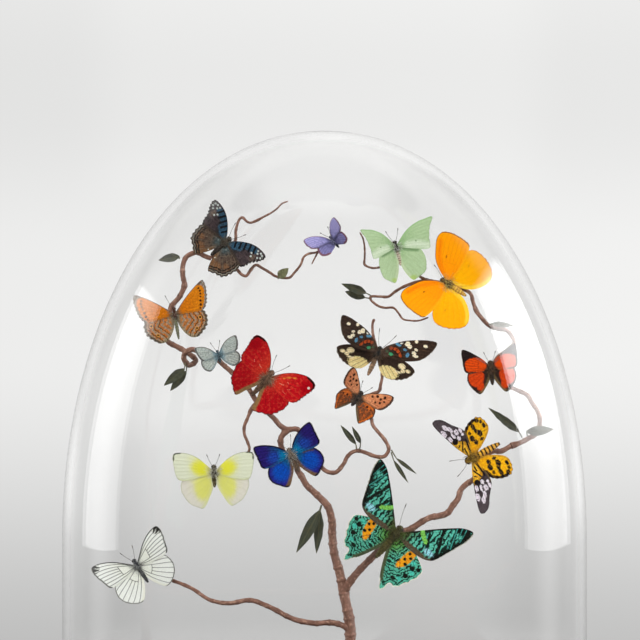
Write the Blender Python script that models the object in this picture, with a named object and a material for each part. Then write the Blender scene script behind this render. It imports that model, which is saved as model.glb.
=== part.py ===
"""Mounted butterflies on a branching twig, under an oval glass dome on a wooden plinth.

The plinth's underside is at z = 0 and its middle at x = y = 0. The insects face -Y. Blender units are
metres; the tables below are in millimetres and MM turns them into metres.
"""

from __future__ import annotations

from dataclasses import dataclass
from math import cos, pi, radians, sin

import bmesh
import bpy
from mathutils import Matrix, Vector

MM = 0.001
GAP = 0.35                  # between two pieces that touch on the real object

# --- glass dome: straight wall, then half an ellipsoid -------------------------------------------
DOME_HALF_WIDTH = 165.0
DOME_HALF_DEPTH = 107.0
GLASS = 5.0
DOME_FOOT = 30.0 + GAP
DOME_SPRING = 164.0         # height at which the wall starts to curve in
DOME_TOP = 422.0
DOME_FULLNESS = 0.97        # power of the curve's cosine and sine; 1 is an ellipse
DOME_CURVE_STEPS = 7

# --- oval plinth ---------------------------------------------------------------------------------
PLINTH_HEIGHT = 38.0
GROOVE_FLOOR = 30.0
SOCKET_RADIUS = 5.2         # hole that holds the foot of the trunk
SOCKET_FLOOR = 24.0
PLINTH_PROFILE = (          # (how far outside the glass, height), from the underside up
    (14.5, 0.0), (16.0, 1.5), (16.0, 7.0), (12.0, 10.5), (11.0, 17.0), (14.0, 24.0), (13.5, 31.0),
    (8.0, PLINTH_HEIGHT),
)
OVAL_SIDES = 32

# --- twigs ---------------------------------------------------------------------------------------
THICK_TWIG = 1.45           # a twig that starts thicker than this is rounder
THICK_TWIG_SIDES = 6
THIN_TWIG_SIDES = 5


@dataclass(frozen=True)
class Twig:
    """One stretch of the branch, from where it leaves its parent to its end.

    The route's points are (x, y, z); the thickness runs evenly from the first radius to the last.
    """

    name: str
    parent: str | None
    radii: tuple[float, float]
    route: tuple[tuple[float, float, float], ...]
    spur: tuple[tuple[float, float, float], ...] = ()


TWIGS = (
    Twig("twig_trunk", None, (4.4, 1.7), (
        (6, 8, 24.35), (6, 8, 40), (8, 8, 56), (12, 8, 74), (16, 7, 92), (16, 5, 110), (13, 4, 126),
        (10, 4, 142), (6.4, 3, 155), (4.8, 2, 167), (4.8, 1, 174), (3.9, 0, 180), (2, -1, 185.6), (-1.8, -2, 190),
        (-7, -3, 195), (-11.2, -4, 199), (-14, -4, 204), (-17, -4, 209), (-17, -4, 215), (-15, -4, 220),
    )),
    Twig("twig_left", "twig_trunk", (1.7, 1.5), (
        (-15, -4, 220.4), (-12, -4, 225), (-13, -4, 230), (-17, -5, 234), (-23.4, -5, 234), (-27.4, -6, 236),
        (-31.4, -7, 240.6), (-36, -8, 245), (-42, -8, 251), (-47, -7, 259), (-52, -6, 264), (-57, -5, 269),
        (-64, -4, 275), (-69, -3, 280), (-75, -4, 282),
    )),
    Twig("twig_curl", "twig_left", (1.7, 1.5), (
        (-75.4, -4, 282.2), (-79, -4, 283), (-83, -5, 284), (-87, -5, 282), (-88, -2, 278), (-85, 2, 274),
        (-81, 5, 277), (-85, 5, 281), (-91.6, 4, 285), (-98.6, 3, 289), (-100.4, 2, 295), (-98, 2, 304),
        (-96, 2, 311), (-91, 1, 317), (-88, 0, 324), (-89, 0, 331), (-89, 1, 337), (-87, 1, 342),
        (-84, 1, 344), (-80, 1, 345), (-76, 1, 343), (-71, 1, 341),
    )),
    Twig("twig_loop", "twig_left", (1.8, 1.7), (
        (-23, -5, 234), (-25.4, -5, 231.5), (-27.4, -4.5, 228), (-27, -3, 223), (-25, -1, 218),
    )),
    Twig("twig_tall", "twig_curl", (1.2, 0.5), (
        (-70.8, 1, 341.3), (-68, 1.5, 344), (-63, 1.5, 347), (-59, 1, 349), (-55.8, 0, 352.6), (-55.6, -1, 358.5),
        (-53.8, -2, 364.8), (-51.6, -3, 366.8), (-48.6, -4, 364.2), (-46.2, -4, 363.4), (-41.4, -5, 365.2),
        (-37.4, -5, 367.4), (-33.6, -5, 369.4), (-29.6, -6, 372.2), (-26.6, -7, 375.2), (-22.8, -8, 376.6),
    )),
    Twig("twig_violet", "twig_tall", (1.1, 0.6), (
        (-69, 1.4, 343), (-67, 1, 339), (-64, 1, 336.5), (-60, 0, 335), (-55, -2, 334), (-52, -3, 331), (-49, -3, 330),
        (-46, -2, 334), (-43, 0, 337), (-39, 2, 335), (-34, 4, 332), (-31, 4, 330), (-27, 4, 329),
        (-22, 3, 329), (-19, 3, 332), (-15, 2, 337), (-13, 2, 342), (-10, 1, 344), (-5, 1, 345),
        (0, 1, 348), (5, 1, 350),
    ), spur=((-4, 1, 345.2), (-6, 3, 341.5), (-8, 4, 337.5))),
    Twig("twig_yellow", "twig_left", (1.1, 0.7), (
        (-42, -8, 251), (-44.5, -7.5, 248.5), (-46, -6.5, 246), (-48, -7, 241), (-50, -8, 236), (-50, -8, 231),
        (-48, -7, 226), (-47, -6, 221), (-51, -5, 215), (-57, -4, 211), (-64, -3, 208), (-70, -3, 205),
    )),
    Twig("twig_centre", "twig_trunk", (1.4, 0.8), (
        (-16, -4, 218), (-10, -6, 215), (-7, -7, 212), (-3, -8, 211), (1, -9, 208), (5, -10, 207),
        (8, -11, 208), (12, -12, 213), (14, -13, 217), (17, -14, 220), (21, -14, 221), (25, -15, 220),
        (30, -15, 218), (35, -15, 217), (38, -15, 218), (40, -15, 222), (38, -15, 227), (33, -13, 233),
        (30, -11, 237), (29, -8, 242), (26, -6, 248), (25, -6, 253), (29, -8, 256), (34, -10, 258),
        (35, -11, 262), (36, -11, 267), (35, -11, 275), (33, -11, 283), (31, -10, 290), (30, -10, 295),
        (30, -10, 300), (31, -10, 303),
    )),
    Twig("twig_right", "twig_trunk", (2.3, 1.6), (
        (12, 4, 132), (20, 0, 143), (30, -5, 154), (38, -8, 162), (46, -9, 169), (54, -10, 172),
        (60, -10, 176), (66, -10, 179), (72, -9, 180), (77, -8, 182), (80, -7, 186), (83.3, -6, 190.7),
        (85.3, -5, 196), (88.6, -4, 199.6), (93.2, -3, 202.6), (97, -2, 208), (99, -2, 213), (102, -1, 218),
        (106, 0, 220), (111, 2, 220), (117, 4, 223),
    )),
    Twig("twig_right_upper", "twig_right", (1.6, 1.1), (
        (117.4, 4.1, 223.2), (123, 6, 225), (129, 7, 228), (134, 8, 231), (136, 8, 235), (136, 7, 241),
        (134, 6, 246), (131, 5, 250), (128, 4, 255), (122, 3, 258), (116, 2, 261), (110, 1, 266),
        (106, 1, 271), (108, 1, 278), (114, 1, 283), (119, 0, 288), (117, -2, 293), (114, -3, 296),
        (108, -4, 297), (103, -5, 299), (98, -6, 304), (95, -6, 308), (93, -7, 313), (91, -8, 319),
        (85, -9, 322), (78, -10, 324),
    )),
    Twig("twig_orange", "twig_right_upper", (1.1, 0.5), (
        (77.6, -10, 324.1), (71, -10, 326), (64, -9, 327), (57, -8, 326), (49, -6, 323), (44, -5, 320),
        (40, -4, 317), (35, -4, 317), (29, -4, 317), (29, -4, 315), (31, -4, 313), (34, -4, 311),
        (38, -4, 310), (43, -5, 310), (46, -5, 307), (49, -5, 303), (54, -5, 302), (59, -5, 302),
        (65, -5, 304),
    )),
    Twig("twig_green", "twig_orange", (0.9, 0.5), (
        (64, -9, 327), (59, -9, 330), (54, -10, 335), (47, -10, 339), (40, -10, 337), (33, -10, 335),
        (29, -10, 335), (25, -10, 337), (25, -11, 341), (25, -12, 347), (24, -13, 353), (22, -14, 357),
    )),
    Twig("twig_low", "twig_trunk", (1.9, 0.9), (
        (16, 5, 108), (6, 2, 112), (-7, 0, 112), (-20, -3, 115), (-33, -5, 122), (-46, -6, 127),
        (-60, -5, 125), (-72, -3, 127), (-83, -2, 134), (-95, -2, 139), (-106, -2, 142), (-116, -2, 146),
    )),
)

# --- leaves --------------------------------------------------------------------------------------
LEAF_THICKNESS = 0.7
STALK_RADIUS = 0.45
LEAF_WIDTHS = ((0.0, 0.1), (0.12, 0.55), (0.34, 1.0), (0.62, 0.86), (0.85, 0.42), (1.0, 0.04))


@dataclass(frozen=True)
class Leaf:
    """A dry leaf: its stalk's start, the foot and the tip of its blade, and the blade's half width.

    `fold` is the angle that each half is turned up about the midrib, and `bow` how far the midrib bows
    forward.
    """

    name: str
    stalk: tuple[float, float, float]
    foot: tuple[float, float, float]
    tip: tuple[float, float, float]
    half_width: float
    fold: float = 25.0
    bow: float = 1.5


LEAVES = (
    Leaf("leaf_upper_left", (-91.2, -1.5, 341.0), (-91, -2, 342.5), (-104, -5, 340), 3.2, 28.0),
    Leaf("leaf_curl_a", (-87.0, -6.8, 275.5), (-87.3, -8, 272), (-100, -12, 261.5), 3.2),
    Leaf("leaf_curl_b", (-86.0, -5.6, 274.0), (-86.3, -4.6, 270.5), (-96.5, -2.5, 258), 3.0, bow=1.0),
    Leaf("leaf_round", (-29.0, 1.8, 328.4), (-29, 0.5, 329), (-22.5, -1, 335), 3.0, 20.0),
    Leaf("leaf_green_a", (28.6, -6.0, 317.9), (26, -8.5, 319.2), (10.5, -13, 325), 3.1),
    Leaf("leaf_green_b", (28.0, -5.4, 316.0), (25.5, -5.5, 316.3), (12.9, -3.5, 320.2), 3.0),
    Leaf("leaf_veiled", (103.0, -7.0, 299.6), (104, -8, 300), (118, -11, 299), 2.2),
    Leaf("leaf_long_right", (124.4, 5.6, 228.6), (122.5, 2.5, 232), (102.6, -4, 247.4), 2.9),
    Leaf("leaf_edge_right", (128.0, 4.6, 229.4), (127, 2.5, 232.2), (144.5, 1, 234), 3.3),
    Leaf("leaf_middle_a", (19.9, -15.2, 222.2), (19.6, -15.5, 225), (10, -17, 237), 2.0),
    Leaf("leaf_middle_b", (21.8, -16.4, 222.0), (22.4, -20, 226), (17, -25, 236.5), 1.8),
    Leaf("leaf_below_a", (41.5, -14.4, 220.0), (43, -14.5, 215), (52, -16, 201), 1.4),
    Leaf("leaf_below_b", (41.6, -16.4, 221.5), (44.5, -19.5, 216.5), (57, -24, 207), 1.3),
    Leaf("leaf_trunk_a", (-2.0, -2.2, 186.3), (-3.2, -3.4, 183), (-17.5, -8, 157), 3.6, 18.0),
    Leaf("leaf_trunk_b", (-1.8, -0.8, 186.0), (-2.6, -1.1, 182.4), (-5, -2, 156), 3.0, 18.0),
)


# --- insects -------------------------------------------------------------------------------------
WING_THICKNESS = 0.6
WING_ROOT = 0.2             # height of the hind wing's middle plane over the body's axis
FORE_OVER_HIND = 0.42
BODY_SIDES = 6
ANTENNA_SPREAD = 24.0
ANTENNA_RADII = (0.28, 0.28, 0.5)


@dataclass(frozen=True)
class Species:
    """Right-hand wings laid flat, measured from the middle of the thorax.

    Each outline's points are (outward, towards the head), from the root round the leading edge, the
    apex and the outer margin, and back to the root.
    """

    fore: tuple[tuple[float, float], ...]
    hind: tuple[tuple[float, float], ...]
    head: float
    tail: float
    girth: float
    antenna: float
    colour: tuple[float, float, float]


DARK_BLUE = Species(
    fore=((0, 0.5), (3, 5), (7, 9), (12, 12.5), (18, 14.5), (24.5, 14), (24.5, 10), (21.5, 5),
          (18.5, -2), (9, -1)),
    hind=((0, 0), (11, 2), (18, -1), (19, -6), (17, -13.5), (12.5, -16), (8, -18.5), (3, -11)),
    head=5.5, tail=-11.5, girth=2.2, antenna=11.0, colour=(0.05, 0.06, 0.08))
VIOLET = Species(
    fore=((0, 0), (3, 6), (7.5, 10.5), (11.5, 12.5), (14.5, 12.5), (14.5, 7), (11.5, 3.5), (5, 1.5)),
    hind=((0, 0), (5, 4), (10.5, 3.4), (12, 0), (11, -3), (7, -4.8), (4, -4), (1.5, -3)),
    head=4.2, tail=-5.5, girth=1.2, antenna=7.0, colour=(0.30, 0.27, 0.52))
PALE_GREEN = Species(
    fore=((0, 1), (4.5, 6.5), (9.5, 11), (15.5, 14), (20, 15), (25.5, 15.5), (22.8, 9.5), (21.5, 3),
          (20.5, -3.5), (9, -1.5)),
    hind=((0, 0), (10, 1.5), (15.5, -3.5), (17.3, -10), (16, -16.5), (11.5, -19.5), (7.5, -21),
          (3.5, -16), (1, -9)),
    head=5.0, tail=-11.0, girth=1.9, antenna=9.0, colour=(0.40, 0.62, 0.42))
ORANGE = Species(
    fore=((0, 0), (4.2, 8.5), (8.5, 14.3), (14.3, 18), (20.7, 20.9), (25.4, 20), (27.9, 15.4), (28.5, 5.8),
          (26.8, 0.5), (12.5, -2)),
    hind=((0, 0), (12.2, 1), (20.7, -0.5), (25.4, -4.2), (26.1, -8.5), (24, -15.5), (18.8, -22.1),
          (14, -23.5), (7.5, -20.2), (2.4, -13.2)),
    head=5.5, tail=-14.0, girth=2.3, antenna=11.0, colour=(1.0, 0.40, 0.01))
FRITILLARY = Species(
    fore=((0, 1), (7, 7.5), (12.5, 12), (18, 15.8), (23, 18), (24.3, 13), (23, 5), (19.5, 0), (7, 0)),
    hind=((0, 0), (11, 3), (18, 1), (21, -4), (19.8, -10), (16.5, -13.2), (12.5, -15.8), (7, -15),
          (2.2, -8.5)),
    head=5.5, tail=-15.0, girth=1.8, antenna=10.0, colour=(0.60, 0.22, 0.02))
RED = Species(
    fore=((0, 1), (5, 8.5), (10, 13.5), (16, 17), (20.5, 18), (25.5, 16.8), (26.5, 13.5), (25.5, 9),
          (22.3, -0.8), (10, -2.2)),
    hind=((0, 0), (12, 2), (19, 0), (21, -6), (19.5, -11), (16.5, -16), (12, -18.7), (6, -21),
          (3.5, -14), (1, -7)),
    head=6.5, tail=-14.5, girth=2.3, antenna=12.0, colour=(0.55, 0.01, 0.01))
GREY_BLUE = Species(
    fore=((0, 0.5), (4, 5.7), (8, 8.6), (13.5, 9.6), (14, 6), (12, 0.5), (5, -0.5)),
    hind=((0, 0), (7, 1.5), (12, -0.5), (13.2, -3.5), (11.5, -7.5), (7.5, -8.7), (3, -5)),
    head=3.6, tail=-4.8, girth=1.2, antenna=7.0, colour=(0.38, 0.42, 0.42))
SPOTTED = Species(
    fore=((0, 1), (3, 6.5), (7.5, 10.7), (12.5, 14.5), (19.5, 18), (26, 20.6), (31, 21), (30.5, 15),
          (27.5, 9), (23, 5), (12, 1)),
    hind=((0, 0), (9, 3), (19.7, 2), (25.7, -1), (23.8, -6), (19.4, -9.5), (13, -11.8),
          (8, -11), (3, -6)),
    head=5.0, tail=-15.0, girth=2.2, antenna=13.0, colour=(0.12, 0.08, 0.05))
COPPER = Species(
    fore=((0, 0.5), (4.5, 6.2), (10, 10), (14.5, 12.6), (18.3, 13), (19, 8), (16, 1.5), (7, 0)),
    hind=((0, 0), (8, 2.5), (13, 0.5), (15.2, -4.5), (13, -8.7), (10, -13.2), (6, -10), (2, -5)),
    head=4.5, tail=-7.0, girth=1.6, antenna=8.0, colour=(0.42, 0.15, 0.06))
EMBER = Species(
    fore=((0, 0.5), (5, 6.2), (10, 10), (14, 12.6), (17.5, 13.6), (18, 8), (16.2, -1), (7, -1.5)),
    hind=((0, 0), (10, 1), (14.3, -0.5), (15.8, -5.5), (14, -10.5), (8.5, -15.7), (4.5, -12),
          (1, -6)),
    head=4.8, tail=-11.0, girth=1.9, antenna=8.0, colour=(0.58, 0.09, 0.01))
YELLOW_MOTH = Species(
    fore=((0, 0.5), (10, 6), (17.5, 9), (24.5, 11.6), (32, 13.3), (33.2, 10.5), (31, 6.6), (26, 3),
          (18, -3), (8, -2.5)),
    hind=((0, 0), (9, -1), (17, -3.5), (20.8, -8.5), (21.8, -14), (20, -17.5), (13.5, -19.3),
          (9, -17.2), (3.5, -9)),
    head=5.0, tail=-20.0, girth=2.9, antenna=12.0, colour=(0.80, 0.50, 0.02))
SUNSET = Species(
    fore=((0, 1), (6, 6.5), (13, 13), (20, 19.3), (26, 24.3), (32, 28.6), (38.3, 30), (38.5, 24),
          (35.5, 16), (32.5, 9), (28.5, 1), (22, -2), (10, -2)),
    hind=((0, 0), (13, 0.5), (22.5, -3), (28, -7), (28, -12), (25, -19), (20.5, -26), (17.5, -25.5),
          (15, -33), (10, -27), (5, -18), (1, -8)),
    head=6.5, tail=-19.0, girth=3.0, antenna=16.0, colour=(0.02, 0.35, 0.30))
DEEP_BLUE = Species(
    fore=((0, 0.5), (3.3, 5.5), (7, 9.3), (11.5, 12.1), (16, 14), (20.3, 14.2), (20.7, 8), (19.5, -0.5),
          (8, -1)),
    hind=((0, 0), (10, 2), (15, 0), (18.5, -5), (18.3, -10), (15, -14), (9.5, -17.7), (5, -13),
          (1.5, -7)),
    head=5.0, tail=-11.5, girth=2.0, antenna=10.0, colour=(0.01, 0.06, 0.42))
PALE_YELLOW = Species(
    fore=((0, 0.5), (5.5, 6), (9.5, 9.7), (14.5, 12.6), (20.5, 14.1), (25, 13.6), (25.6, 9), (22.3, -3),
          (9, -2.5)),
    hind=((0, 0), (11, -1), (20, -2.5), (21.7, -8), (20, -13), (17, -17.5), (13, -20.2), (8.5, -21.7),
          (4, -15), (1, -8)),
    head=5.0, tail=-9.5, girth=2.0, antenna=9.0, colour=(0.68, 0.68, 0.36))
VEINED_WHITE = Species(
    fore=((0, 0.5), (6, 6), (12, 11), (19, 14.5), (24.5, 15), (25.5, 11), (23.5, 3), (21, -2.5),
          (9, -2.5)),
    hind=((0, 0), (11, -1), (18.5, -3), (20.5, -8), (19.5, -13.5), (15, -18.5), (9, -20.5), (4, -15),
          (1, -8)),
    head=5.0, tail=-12.5, girth=1.9, antenna=10.0, colour=(0.72, 0.72, 0.68))


@dataclass(frozen=True)
class Insect:
    """One mounted insect: where its thorax is, which way it points and how its wings are spread.

    `heading` turns the head from +X towards +Z, `pitch` lifts the head forward and `roll` the left side.
    `lift` raises the (right, left) wings off the body's plane, and the two turns swing the (right, left)
    fore and hind wings forward. `rise` raises the (right, left) fore wings more than the hind ones.
    """

    name: str
    species: Species
    place: tuple[float, float, float]
    heading: float
    pitch: float = 0.0
    roll: float = 0.0
    lift: tuple[float, float] = (10.0, 10.0)
    fore_turn: tuple[float, float] = (0.0, 0.0)
    hind_turn: tuple[float, float] = (0.0, 0.0)
    rise: tuple[float, float] = (0.0, 0.0)


INSECTS = (
    Insect("butterfly_dark_blue", DARK_BLUE, (-62.6, -3.2, 350.6), 41, 6, -1, (10, 10), (1, 0), (-5, 0)),
    Insect("butterfly_violet", VIOLET, (5.8, -1.6, 351.8), 130, 8, -8, (38, 10), (0, 0), (-4, 0)),
    Insect("butterfly_green", PALE_GREEN, (44.6, -13.4, 347.0), 105, -1, 10, (18, 30), (-5, 1), (-6, 2)),
    Insect("butterfly_orange", ORANGE, (76.6, -14.4, 325.0), 147, 8, 9, (7, 7), (1.5, 3.5), (7, 0)),
    Insect("butterfly_fritillary", FRITILLARY, (-93.6, -2.2, 305.1), 99, 2, 7, (22, 6), (4, -3), (4, 1)),
    Insect("butterfly_red", RED, (-35.9, -12.8, 265.9), 49, 8, 10, (7, 13), (0, 3.5), (0, 8)),
    Insect("butterfly_grey_blue", GREY_BLUE, (-66.2, -6.6, 280.1), 105, -7, 10, (9, 18), (0, -9), (0, 0)),
    Insect("moth_spotted", SPOTTED, (33.0, -15.0, 281.4), 66, 8, 10, (7, -2), (0, -10), (0, -11), (0, 20)),
    Insect("butterfly_copper", COPPER, (20.9, -9.6, 254.3), 54, 5, 4, (8, 31), (0, 4.5), (0, -3.5)),
    Insect("butterfly_ember", EMBER, (104.3, -2.6, 272.4), 96, 8, -2, (11, 10), (3.5, 0), (0, 0)),
    Insect("moth_yellow", YELLOW_MOTH, (92.2, -7.0, 215.9), 208, 8, -3, (10, 8), (0, -2), (4.5, -5)),
    Insect("moth_sunset", SUNSET, (44.0, -15.0, 169.0), 50, 0, 0, (10, 10), (3, 0)),
    Insect("butterfly_blue", DEEP_BLUE, (-20.5, -8.6, 218.0), 113, 8, -2, (11, 10), (4, 0), (-1, 0)),
    Insect("butterfly_yellow", PALE_YELLOW, (-69.0, -6.4, 207.0), 92, 8, 0, (11, 11), (-2, 0), (4.5, -3)),
    Insect("butterfly_white", VEINED_WHITE, (-117.0, -5.6, 148.5), 123, 4, 0, (10, 10)),
)


def to_metres(point) -> Vector:
    """A point of the tables, in metres."""
    return Vector(point) * MM


def finish(name: str, colour: tuple[float, float, float], roughness: float,
           transmission: float = 0.0) -> bpy.types.Material:
    """A plain material with the piece's colour."""
    material = bpy.data.materials.new(name)
    material.use_nodes = True
    shader = material.node_tree.nodes["Principled BSDF"]
    shader.inputs["Base Color"].default_value = (*colour, 1.0)
    shader.inputs["Roughness"].default_value = roughness
    shader.inputs["Transmission Weight"].default_value = transmission
    material.diffuse_color = (*colour, 1.0)
    return material


def add_object(name: str, bm: bmesh.types.BMesh, material: bpy.types.Material | None = None):
    """A new object from a bmesh, which is freed."""
    bmesh.ops.recalc_face_normals(bm, faces=bm.faces)
    mesh = bpy.data.meshes.new(name)
    bm.to_mesh(mesh)
    bm.free()
    if material:
        mesh.materials.append(material)
    piece = bpy.data.objects.new(name, mesh)
    bpy.context.collection.objects.link(piece)
    return piece


def loft(rings: list[list[Vector]]) -> bmesh.types.BMesh:
    """Rings of equally many points, joined in order and closed by a flat face at both ends.

    A ring of one point closes the body in a tip.
    """
    bm = bmesh.new()
    loops = [[bm.verts.new(point) for point in ring] for ring in rings]
    for near, far in zip(loops, loops[1:]):
        count = max(len(near), len(far))
        for i in range(count):
            j = (i + 1) % count
            corners = [near[i % len(near)], near[j % len(near)], far[j % len(far)], far[i % len(far)]]
            bm.faces.new(list(dict.fromkeys(corners)))
    for ends in (loops[0], loops[-1]):
        if len(ends) > 2:
            bm.faces.new(ends)
    return bm


def combine(piece, other, operation: str) -> None:
    """Join another object's body to the piece, or cut it away, and remove the other object."""
    step = piece.modifiers.new(operation.lower(), "BOOLEAN")
    step.operation = operation
    step.solver = "EXACT"
    step.object = other
    evaluated = piece.evaluated_get(bpy.context.evaluated_depsgraph_get())
    result = bpy.data.meshes.new_from_object(evaluated)
    piece.modifiers.remove(step)
    old = piece.data
    piece.data = result
    bpy.data.meshes.remove(old)
    bpy.data.objects.remove(other)


def oval(half_width: float, half_depth: float, height: float) -> list[Vector]:
    """Points round an upright oval section of the dome or the plinth."""
    turns = [2 * pi * i / OVAL_SIDES for i in range(OVAL_SIDES)]
    return [to_metres((half_width * cos(t), half_depth * sin(t), height)) for t in turns]


def dome_rings(inset: float, foot: float) -> list[list[Vector]]:
    """The dome's outer surface, or with an inset its inner one, from the foot up to the pole."""
    width = DOME_HALF_WIDTH - inset
    depth = DOME_HALF_DEPTH - inset
    rise = DOME_TOP - DOME_SPRING - inset
    rings = [oval(width, depth, foot)]
    for i in range(DOME_CURVE_STEPS):
        angle = 0.5 * pi * i / DOME_CURVE_STEPS
        share = cos(angle) ** DOME_FULLNESS
        height = DOME_SPRING + rise * sin(angle) ** DOME_FULLNESS
        rings.append(oval(width * share, depth * share, height))
    rings.append([to_metres((0, 0, DOME_SPRING + rise))])
    return rings


def build_dome() -> None:
    """One open cup of glass, standing in the plinth's groove."""
    outside = dome_rings(0.0, DOME_FOOT)
    inside = dome_rings(GLASS, DOME_FOOT)
    bm = loft(inside[::-1] + outside)
    piece = add_object("glass_dome", bm, finish("clear glass", (0.92, 0.95, 0.94), 0.02, 1.0))
    piece.data.shade_smooth()


def build_plinth() -> None:
    """The moulded oval plinth, with a groove for the glass and a socket for the trunk."""
    def ring(offset: float, height: float) -> list[Vector]:
        return oval(DOME_HALF_WIDTH + offset, DOME_HALF_DEPTH + offset, height)

    rings = [[Vector((0, 0, 0))]]
    rings += [ring(offset, height) for offset, height in PLINTH_PROFILE]
    rings += [ring(GAP, PLINTH_HEIGHT), ring(GAP, GROOVE_FLOOR)]
    rings += [ring(-GLASS - GAP, GROOVE_FLOOR), ring(-GLASS - GAP, PLINTH_HEIGHT)]
    rings += [[to_metres((0, 0, PLINTH_HEIGHT))]]
    piece = add_object("plinth", loft(rings), finish("ebonised wood", (0.012, 0.010, 0.009), 0.35))

    foot = to_metres(TWIGS[0].route[0])
    bm = bmesh.new()
    depth = (PLINTH_HEIGHT - SOCKET_FLOOR) * 2 * MM
    bmesh.ops.create_cone(bm, cap_ends=True, segments=12, radius1=SOCKET_RADIUS * MM,
                          radius2=SOCKET_RADIUS * MM, depth=depth)
    centre = Vector((foot.x, foot.y, SOCKET_FLOOR * MM + depth / 2))
    bmesh.ops.translate(bm, verts=bm.verts, vec=centre)
    combine(piece, add_object("socket", bm), "DIFFERENCE")


def tube(points: list[Vector], radii: list[float], sides: int) -> bmesh.types.BMesh:
    """A closed tube along a route, carried on from ring to ring without twisting."""
    rings = []
    across = Vector((0, 1, 0))
    last = len(points) - 1
    for i, (point, radius) in enumerate(zip(points, radii)):
        along = (points[min(i + 1, last)] - points[max(i - 1, 0)]).normalized()
        if abs(along.dot(across)) > 0.95:
            across = Vector((1, 0, 0))
        across = (across - along * across.dot(along)).normalized()
        side = along.cross(across)
        turns = [2 * pi * k / sides for k in range(sides)]
        rings.append([point + (across * cos(t) + side * sin(t)) * radius for t in turns])
    return loft(rings)


def twig_tube(twig: Twig, extra: float = 0.0) -> bmesh.types.BMesh:
    """A twig's body, or the same body grown by an extra thickness."""
    points = [to_metres(point) for point in twig.route]
    last = len(points) - 1
    thick, thin = twig.radii
    radii = [(thick + (thin - thick) * i / last + extra) * MM for i in range(last + 1)]
    sides = THICK_TWIG_SIDES if thick > THICK_TWIG else THIN_TWIG_SIDES
    return tube(points, radii, sides)


def build_twigs() -> None:
    """Every stretch of the branch, each coped to sit against the one that it grows from."""
    bark = finish("bark", (0.13, 0.07, 0.05), 0.7)
    by_name = {twig.name: twig for twig in TWIGS}
    for twig in TWIGS:
        piece = add_object(twig.name, twig_tube(twig), bark)
        if twig.spur:
            points = [to_metres(point) for point in twig.spur]
            radii = [0.6 * MM, 0.55 * MM, 0.4 * MM]
            combine(piece, add_object("spur", tube(points, radii, THIN_TWIG_SIDES)), "UNION")
        if twig.parent:
            cutter = add_object("cope", twig_tube(by_name[twig.parent], GAP))
            combine(piece, cutter, "DIFFERENCE")


def build_leaf(leaf: Leaf, material: bpy.types.Material) -> None:
    """A stalk that widens into a blade folded along its midrib."""
    stalk, foot, tip = (to_metres(point) for point in (leaf.stalk, leaf.foot, leaf.tip))
    along = (tip - foot).normalized()
    toward_viewer = Vector((0, -1, 0))
    front = (toward_viewer - along * toward_viewer.dot(along)).normalized()
    side = along.cross(front)
    edge = side * cos(radians(leaf.fold)) + front * sin(radians(leaf.fold))
    other_edge = -side * cos(radians(leaf.fold)) + front * sin(radians(leaf.fold))
    half = front * LEAF_THICKNESS * MM / 2
    stalk_half = front * STALK_RADIUS * MM

    stalk_side = side * STALK_RADIUS * MM
    rings = [[stalk + stalk_side, stalk + stalk_half, stalk - stalk_side, stalk - stalk_half]]
    for share, width in LEAF_WIDTHS:
        middle = foot.lerp(tip, share) + front * leaf.bow * MM * sin(pi * share)
        reach = max(width * leaf.half_width, STALK_RADIUS) * MM
        thin = max(1.0 - share * 0.6, 0.4)
        rings.append([middle + edge * reach, middle + half * thin,
                      middle + other_edge * reach, middle - half * thin])
    add_object(leaf.name, loft(rings), material)


def body_tube(species: Species) -> bmesh.types.BMesh:
    """Abdomen, thorax and head in one tapering body along local Y."""
    girth = species.girth
    tail = species.tail
    head = species.head
    neck = head - girth * 1.1
    profile = ((tail, 0.3), (tail * 0.62, 0.74), (-girth * 0.9, 0.62), (0.0, 1.0), (neck, 0.6),
               (head - girth * 0.5, 0.7), (head, 0.35))
    points = [to_metres((0, y, 0)) for y, _ in profile]
    radii = [share * girth * MM for _, share in profile]
    return tube(points, radii, BODY_SIDES)


def antenna_tube(species: Species, side: int) -> bmesh.types.BMesh:
    """One antenna, thin from the head and thicker at its club."""
    spread = radians(ANTENNA_SPREAD)
    root = Vector((side * species.girth * 0.2, species.head - species.girth * 0.7, species.girth * 0.2))
    way = Vector((side * sin(spread), cos(spread), 0.12))
    points = [(root + way * species.antenna * share) * MM for share in (0.0, 0.75, 1.0)]
    return tube(points, [radius * MM for radius in ANTENNA_RADII], 3)


def wing_plate(outline, side: int, lift: float, turn: float, height: float) -> bmesh.types.BMesh:
    """A thin plate with the wing's outline, turned about its root and raised off the body."""
    placing = (Matrix.Rotation(-radians(lift) * side, 4, "Y") @ Matrix.Rotation(radians(turn) * side, 4, "Z"))
    thickness = WING_THICKNESS * MM
    rings = []
    for level in (height * MM - thickness / 2, height * MM + thickness / 2):
        rings.append([placing @ Vector((side * x * MM, y * MM, level)) for x, y in outline])
    return loft(rings)


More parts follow.
